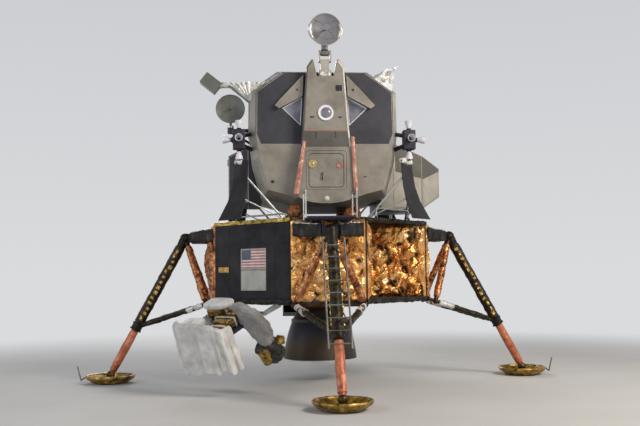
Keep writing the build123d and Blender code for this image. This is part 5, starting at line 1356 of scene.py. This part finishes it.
class LANDER_OT_stage_set(Maker, bpy.types.Operator):
    """Pale floor, soft lamps, plain surroundings and the camera"""
    bl_idname = "lander.stage_set"
    bl_label = "Floor, lamps and camera"

    def make(self, scene):
        x, y = np.meshgrid(np.linspace(-60, 60, 9), np.linspace(-40, 80, 9))
        mesh = bpy.data.meshes.new("floor")
        index = np.arange(81).reshape(9, 9)
        quads = np.stack([index[:-1, :-1], index[:-1, 1:], index[1:, 1:], index[1:, :-1]], -1).reshape(-1, 4)
        mesh.from_pydata(np.stack([x, y, 0 * x - 0.001], -1).reshape(-1, 3).tolist(), [], quads.tolist())
        # smooth pale studio floor, a little uneven in tone
        material, tree, shader, place = start_finish("pale_floor", Roughness=0.9)
        colour = drift(tree, place, 0.6, 3.0, [(0.3, "#C9C8C5"), (0.7, "#D0CFCC")])[0]
        tree.links.new(colour, shader.inputs["Base Color"])
        # away from the object the floor turns into the backdrop's own colour
        away = add_node(tree, "VectorMath", {0: place}, operation="LENGTH").outputs["Value"]
        fade = add_node(tree, "MapRange", {"Value": away, "From Min": 7.0, "From Max": 17.0},
                        interpolation_type="SMOOTHSTEP").outputs["Result"]
        glow = add_node(tree, "Emission", {"Color": linear(BACKDROP)}).outputs[0]
        mix = add_node(tree, "MixShader", {0: fade, 1: shader.outputs[0], 2: glow}).outputs[0]
        end = next(n for n in tree.nodes if n.type == "OUTPUT_MATERIAL")
        tree.links.new(mix, end.inputs["Surface"])
        mesh.materials.append(material)
        floor = bpy.data.objects.new("floor", mesh)
        scene.collection.objects.link(floor)

        for name, spot, target, size, watts, colour in (
                ("key_lamp", (10, -11, 11), (0, 0, 3), 6.0, 2100, "#FFF6EA"),
                ("fill_lamp", (-13, -9, 7), (0, 0, 3), 9.0, 520, "#F1F4FF"),
                ("back_lamp", (-4, 13, 10), (0, 0, 4), 7.0, 900, "#FFFFFF")):
            lamp = bpy.data.lights.new(name, "AREA")
            lamp.size, lamp.energy, lamp.color = size, watts, linear(colour)[:3]
            thing = bpy.data.objects.new(name, lamp)
            thing.location = spot
            thing.rotation_euler = (Vector(target) - Vector(spot)).to_track_quat("-Z", "Y").to_euler()
            scene.collection.objects.link(thing)

        # the surroundings darken upwards, and light the object a little less than they show
        world = bpy.data.worlds.new("studio")
        world.use_nodes = True
        tree = world.node_tree
        back = next(n for n in tree.nodes if n.type == "BACKGROUND")
        where = add_node(tree, "TexCoord").outputs["Generated"]
        rise = add_node(tree, "SeparateXYZ", {"Vector": where}).outputs["Z"]
        sky = add_node(tree, "ValToRGB", {"Fac": rise},
                       [(0.0, BACKDROP), (0.36, "#CBCCD0"), (0.6, "#8D9097"),
                        (1.0, "#4C4F56")]).outputs["Color"]
        tree.links.new(sky, back.inputs["Color"])
        ray = add_node(tree, "LightPath").outputs
        seen = ray["Is Camera Ray"]
        for kind in ("Is Glossy Ray", "Is Transmission Ray"):
            seen = add_node(tree, "Math", {0: seen, 1: ray[kind]}, operation="MAXIMUM").outputs[0]
        level = add_node(tree, "MapRange", {"Value": seen, "To Min": 0.75, "To Max": 1.0}).outputs["Result"]
        tree.links.new(level, back.inputs["Strength"])
        scene.world = world
        scene.view_settings.view_transform = "Standard"

        # the photograph's viewpoint, with its small roll, and a lens a little longer than it had
        camera = bpy.data.cameras.new("camera")
        camera.sensor_width, camera.lens, roll = 36, 47.6, math.radians(-0.68)
        thing = bpy.data.objects.new("camera", camera)
        spot, target = Vector((-1.42, -17.54, 2.06)), Vector((0.03, 0, 3.41))
        aim = (target - spot).to_track_quat("-Z", "Y").to_matrix().to_4x4()
        thing.matrix_world = Matrix.Translation(spot) @ aim @ Matrix.Rotation(roll, 4, "Z")
        scene.collection.objects.link(thing)
        scene.camera = thing


class LANDER_PT_looks(bpy.types.Panel):
    """Lists the sizes, colours and pieces of the lander's looks"""
    bl_idname = "LANDER_PT_looks"
    bl_label = "Lander looks"
    bl_space_type = "VIEW_3D"
    bl_region_type = "UI"
    bl_category = "Lander"

    def draw(self, context):
        for group in (context.scene.lander_sizes, context.scene.lander_colours):
            for name in group.__annotations__:
                self.layout.prop(group, name)
        for operator in OPERATORS:
            self.layout.operator(operator.bl_idname)


OPERATORS = (LANDER_OT_finish_frame, LANDER_OT_stage_films, LANDER_OT_stage_edges, LANDER_OT_leg_wraps,
             LANDER_OT_pad_films, LANDER_OT_markings, LANDER_OT_panel_seams, LANDER_OT_face_trim,
             LANDER_OT_windows, LANDER_OT_hatch_details, LANDER_OT_light_and_aerials, LANDER_OT_cabin_films,
             LANDER_OT_bracket_films, LANDER_OT_deck_bars, LANDER_OT_porch_and_tunnel, LANDER_OT_cargo,
             LANDER_OT_stage_set)
CLASSES = (LanderSizes, LanderColours, *OPERATORS, LANDER_PT_looks)


def register():
    for cls in CLASSES:
        bpy.utils.register_class(cls)
    bpy.types.Scene.lander_sizes = bpy.props.PointerProperty(type=LanderSizes)
    bpy.types.Scene.lander_colours = bpy.props.PointerProperty(type=LanderColours)


def unregister():
    del bpy.types.Scene.lander_sizes
    del bpy.types.Scene.lander_colours
    for cls in reversed(CLASSES):
        bpy.utils.unregister_class(cls)


def main():
    register()
    for operator in OPERATORS:
        group, name = operator.bl_idname.split(".")
        getattr(getattr(bpy.ops, group), name)()


if __name__ == "__main__":
    main()
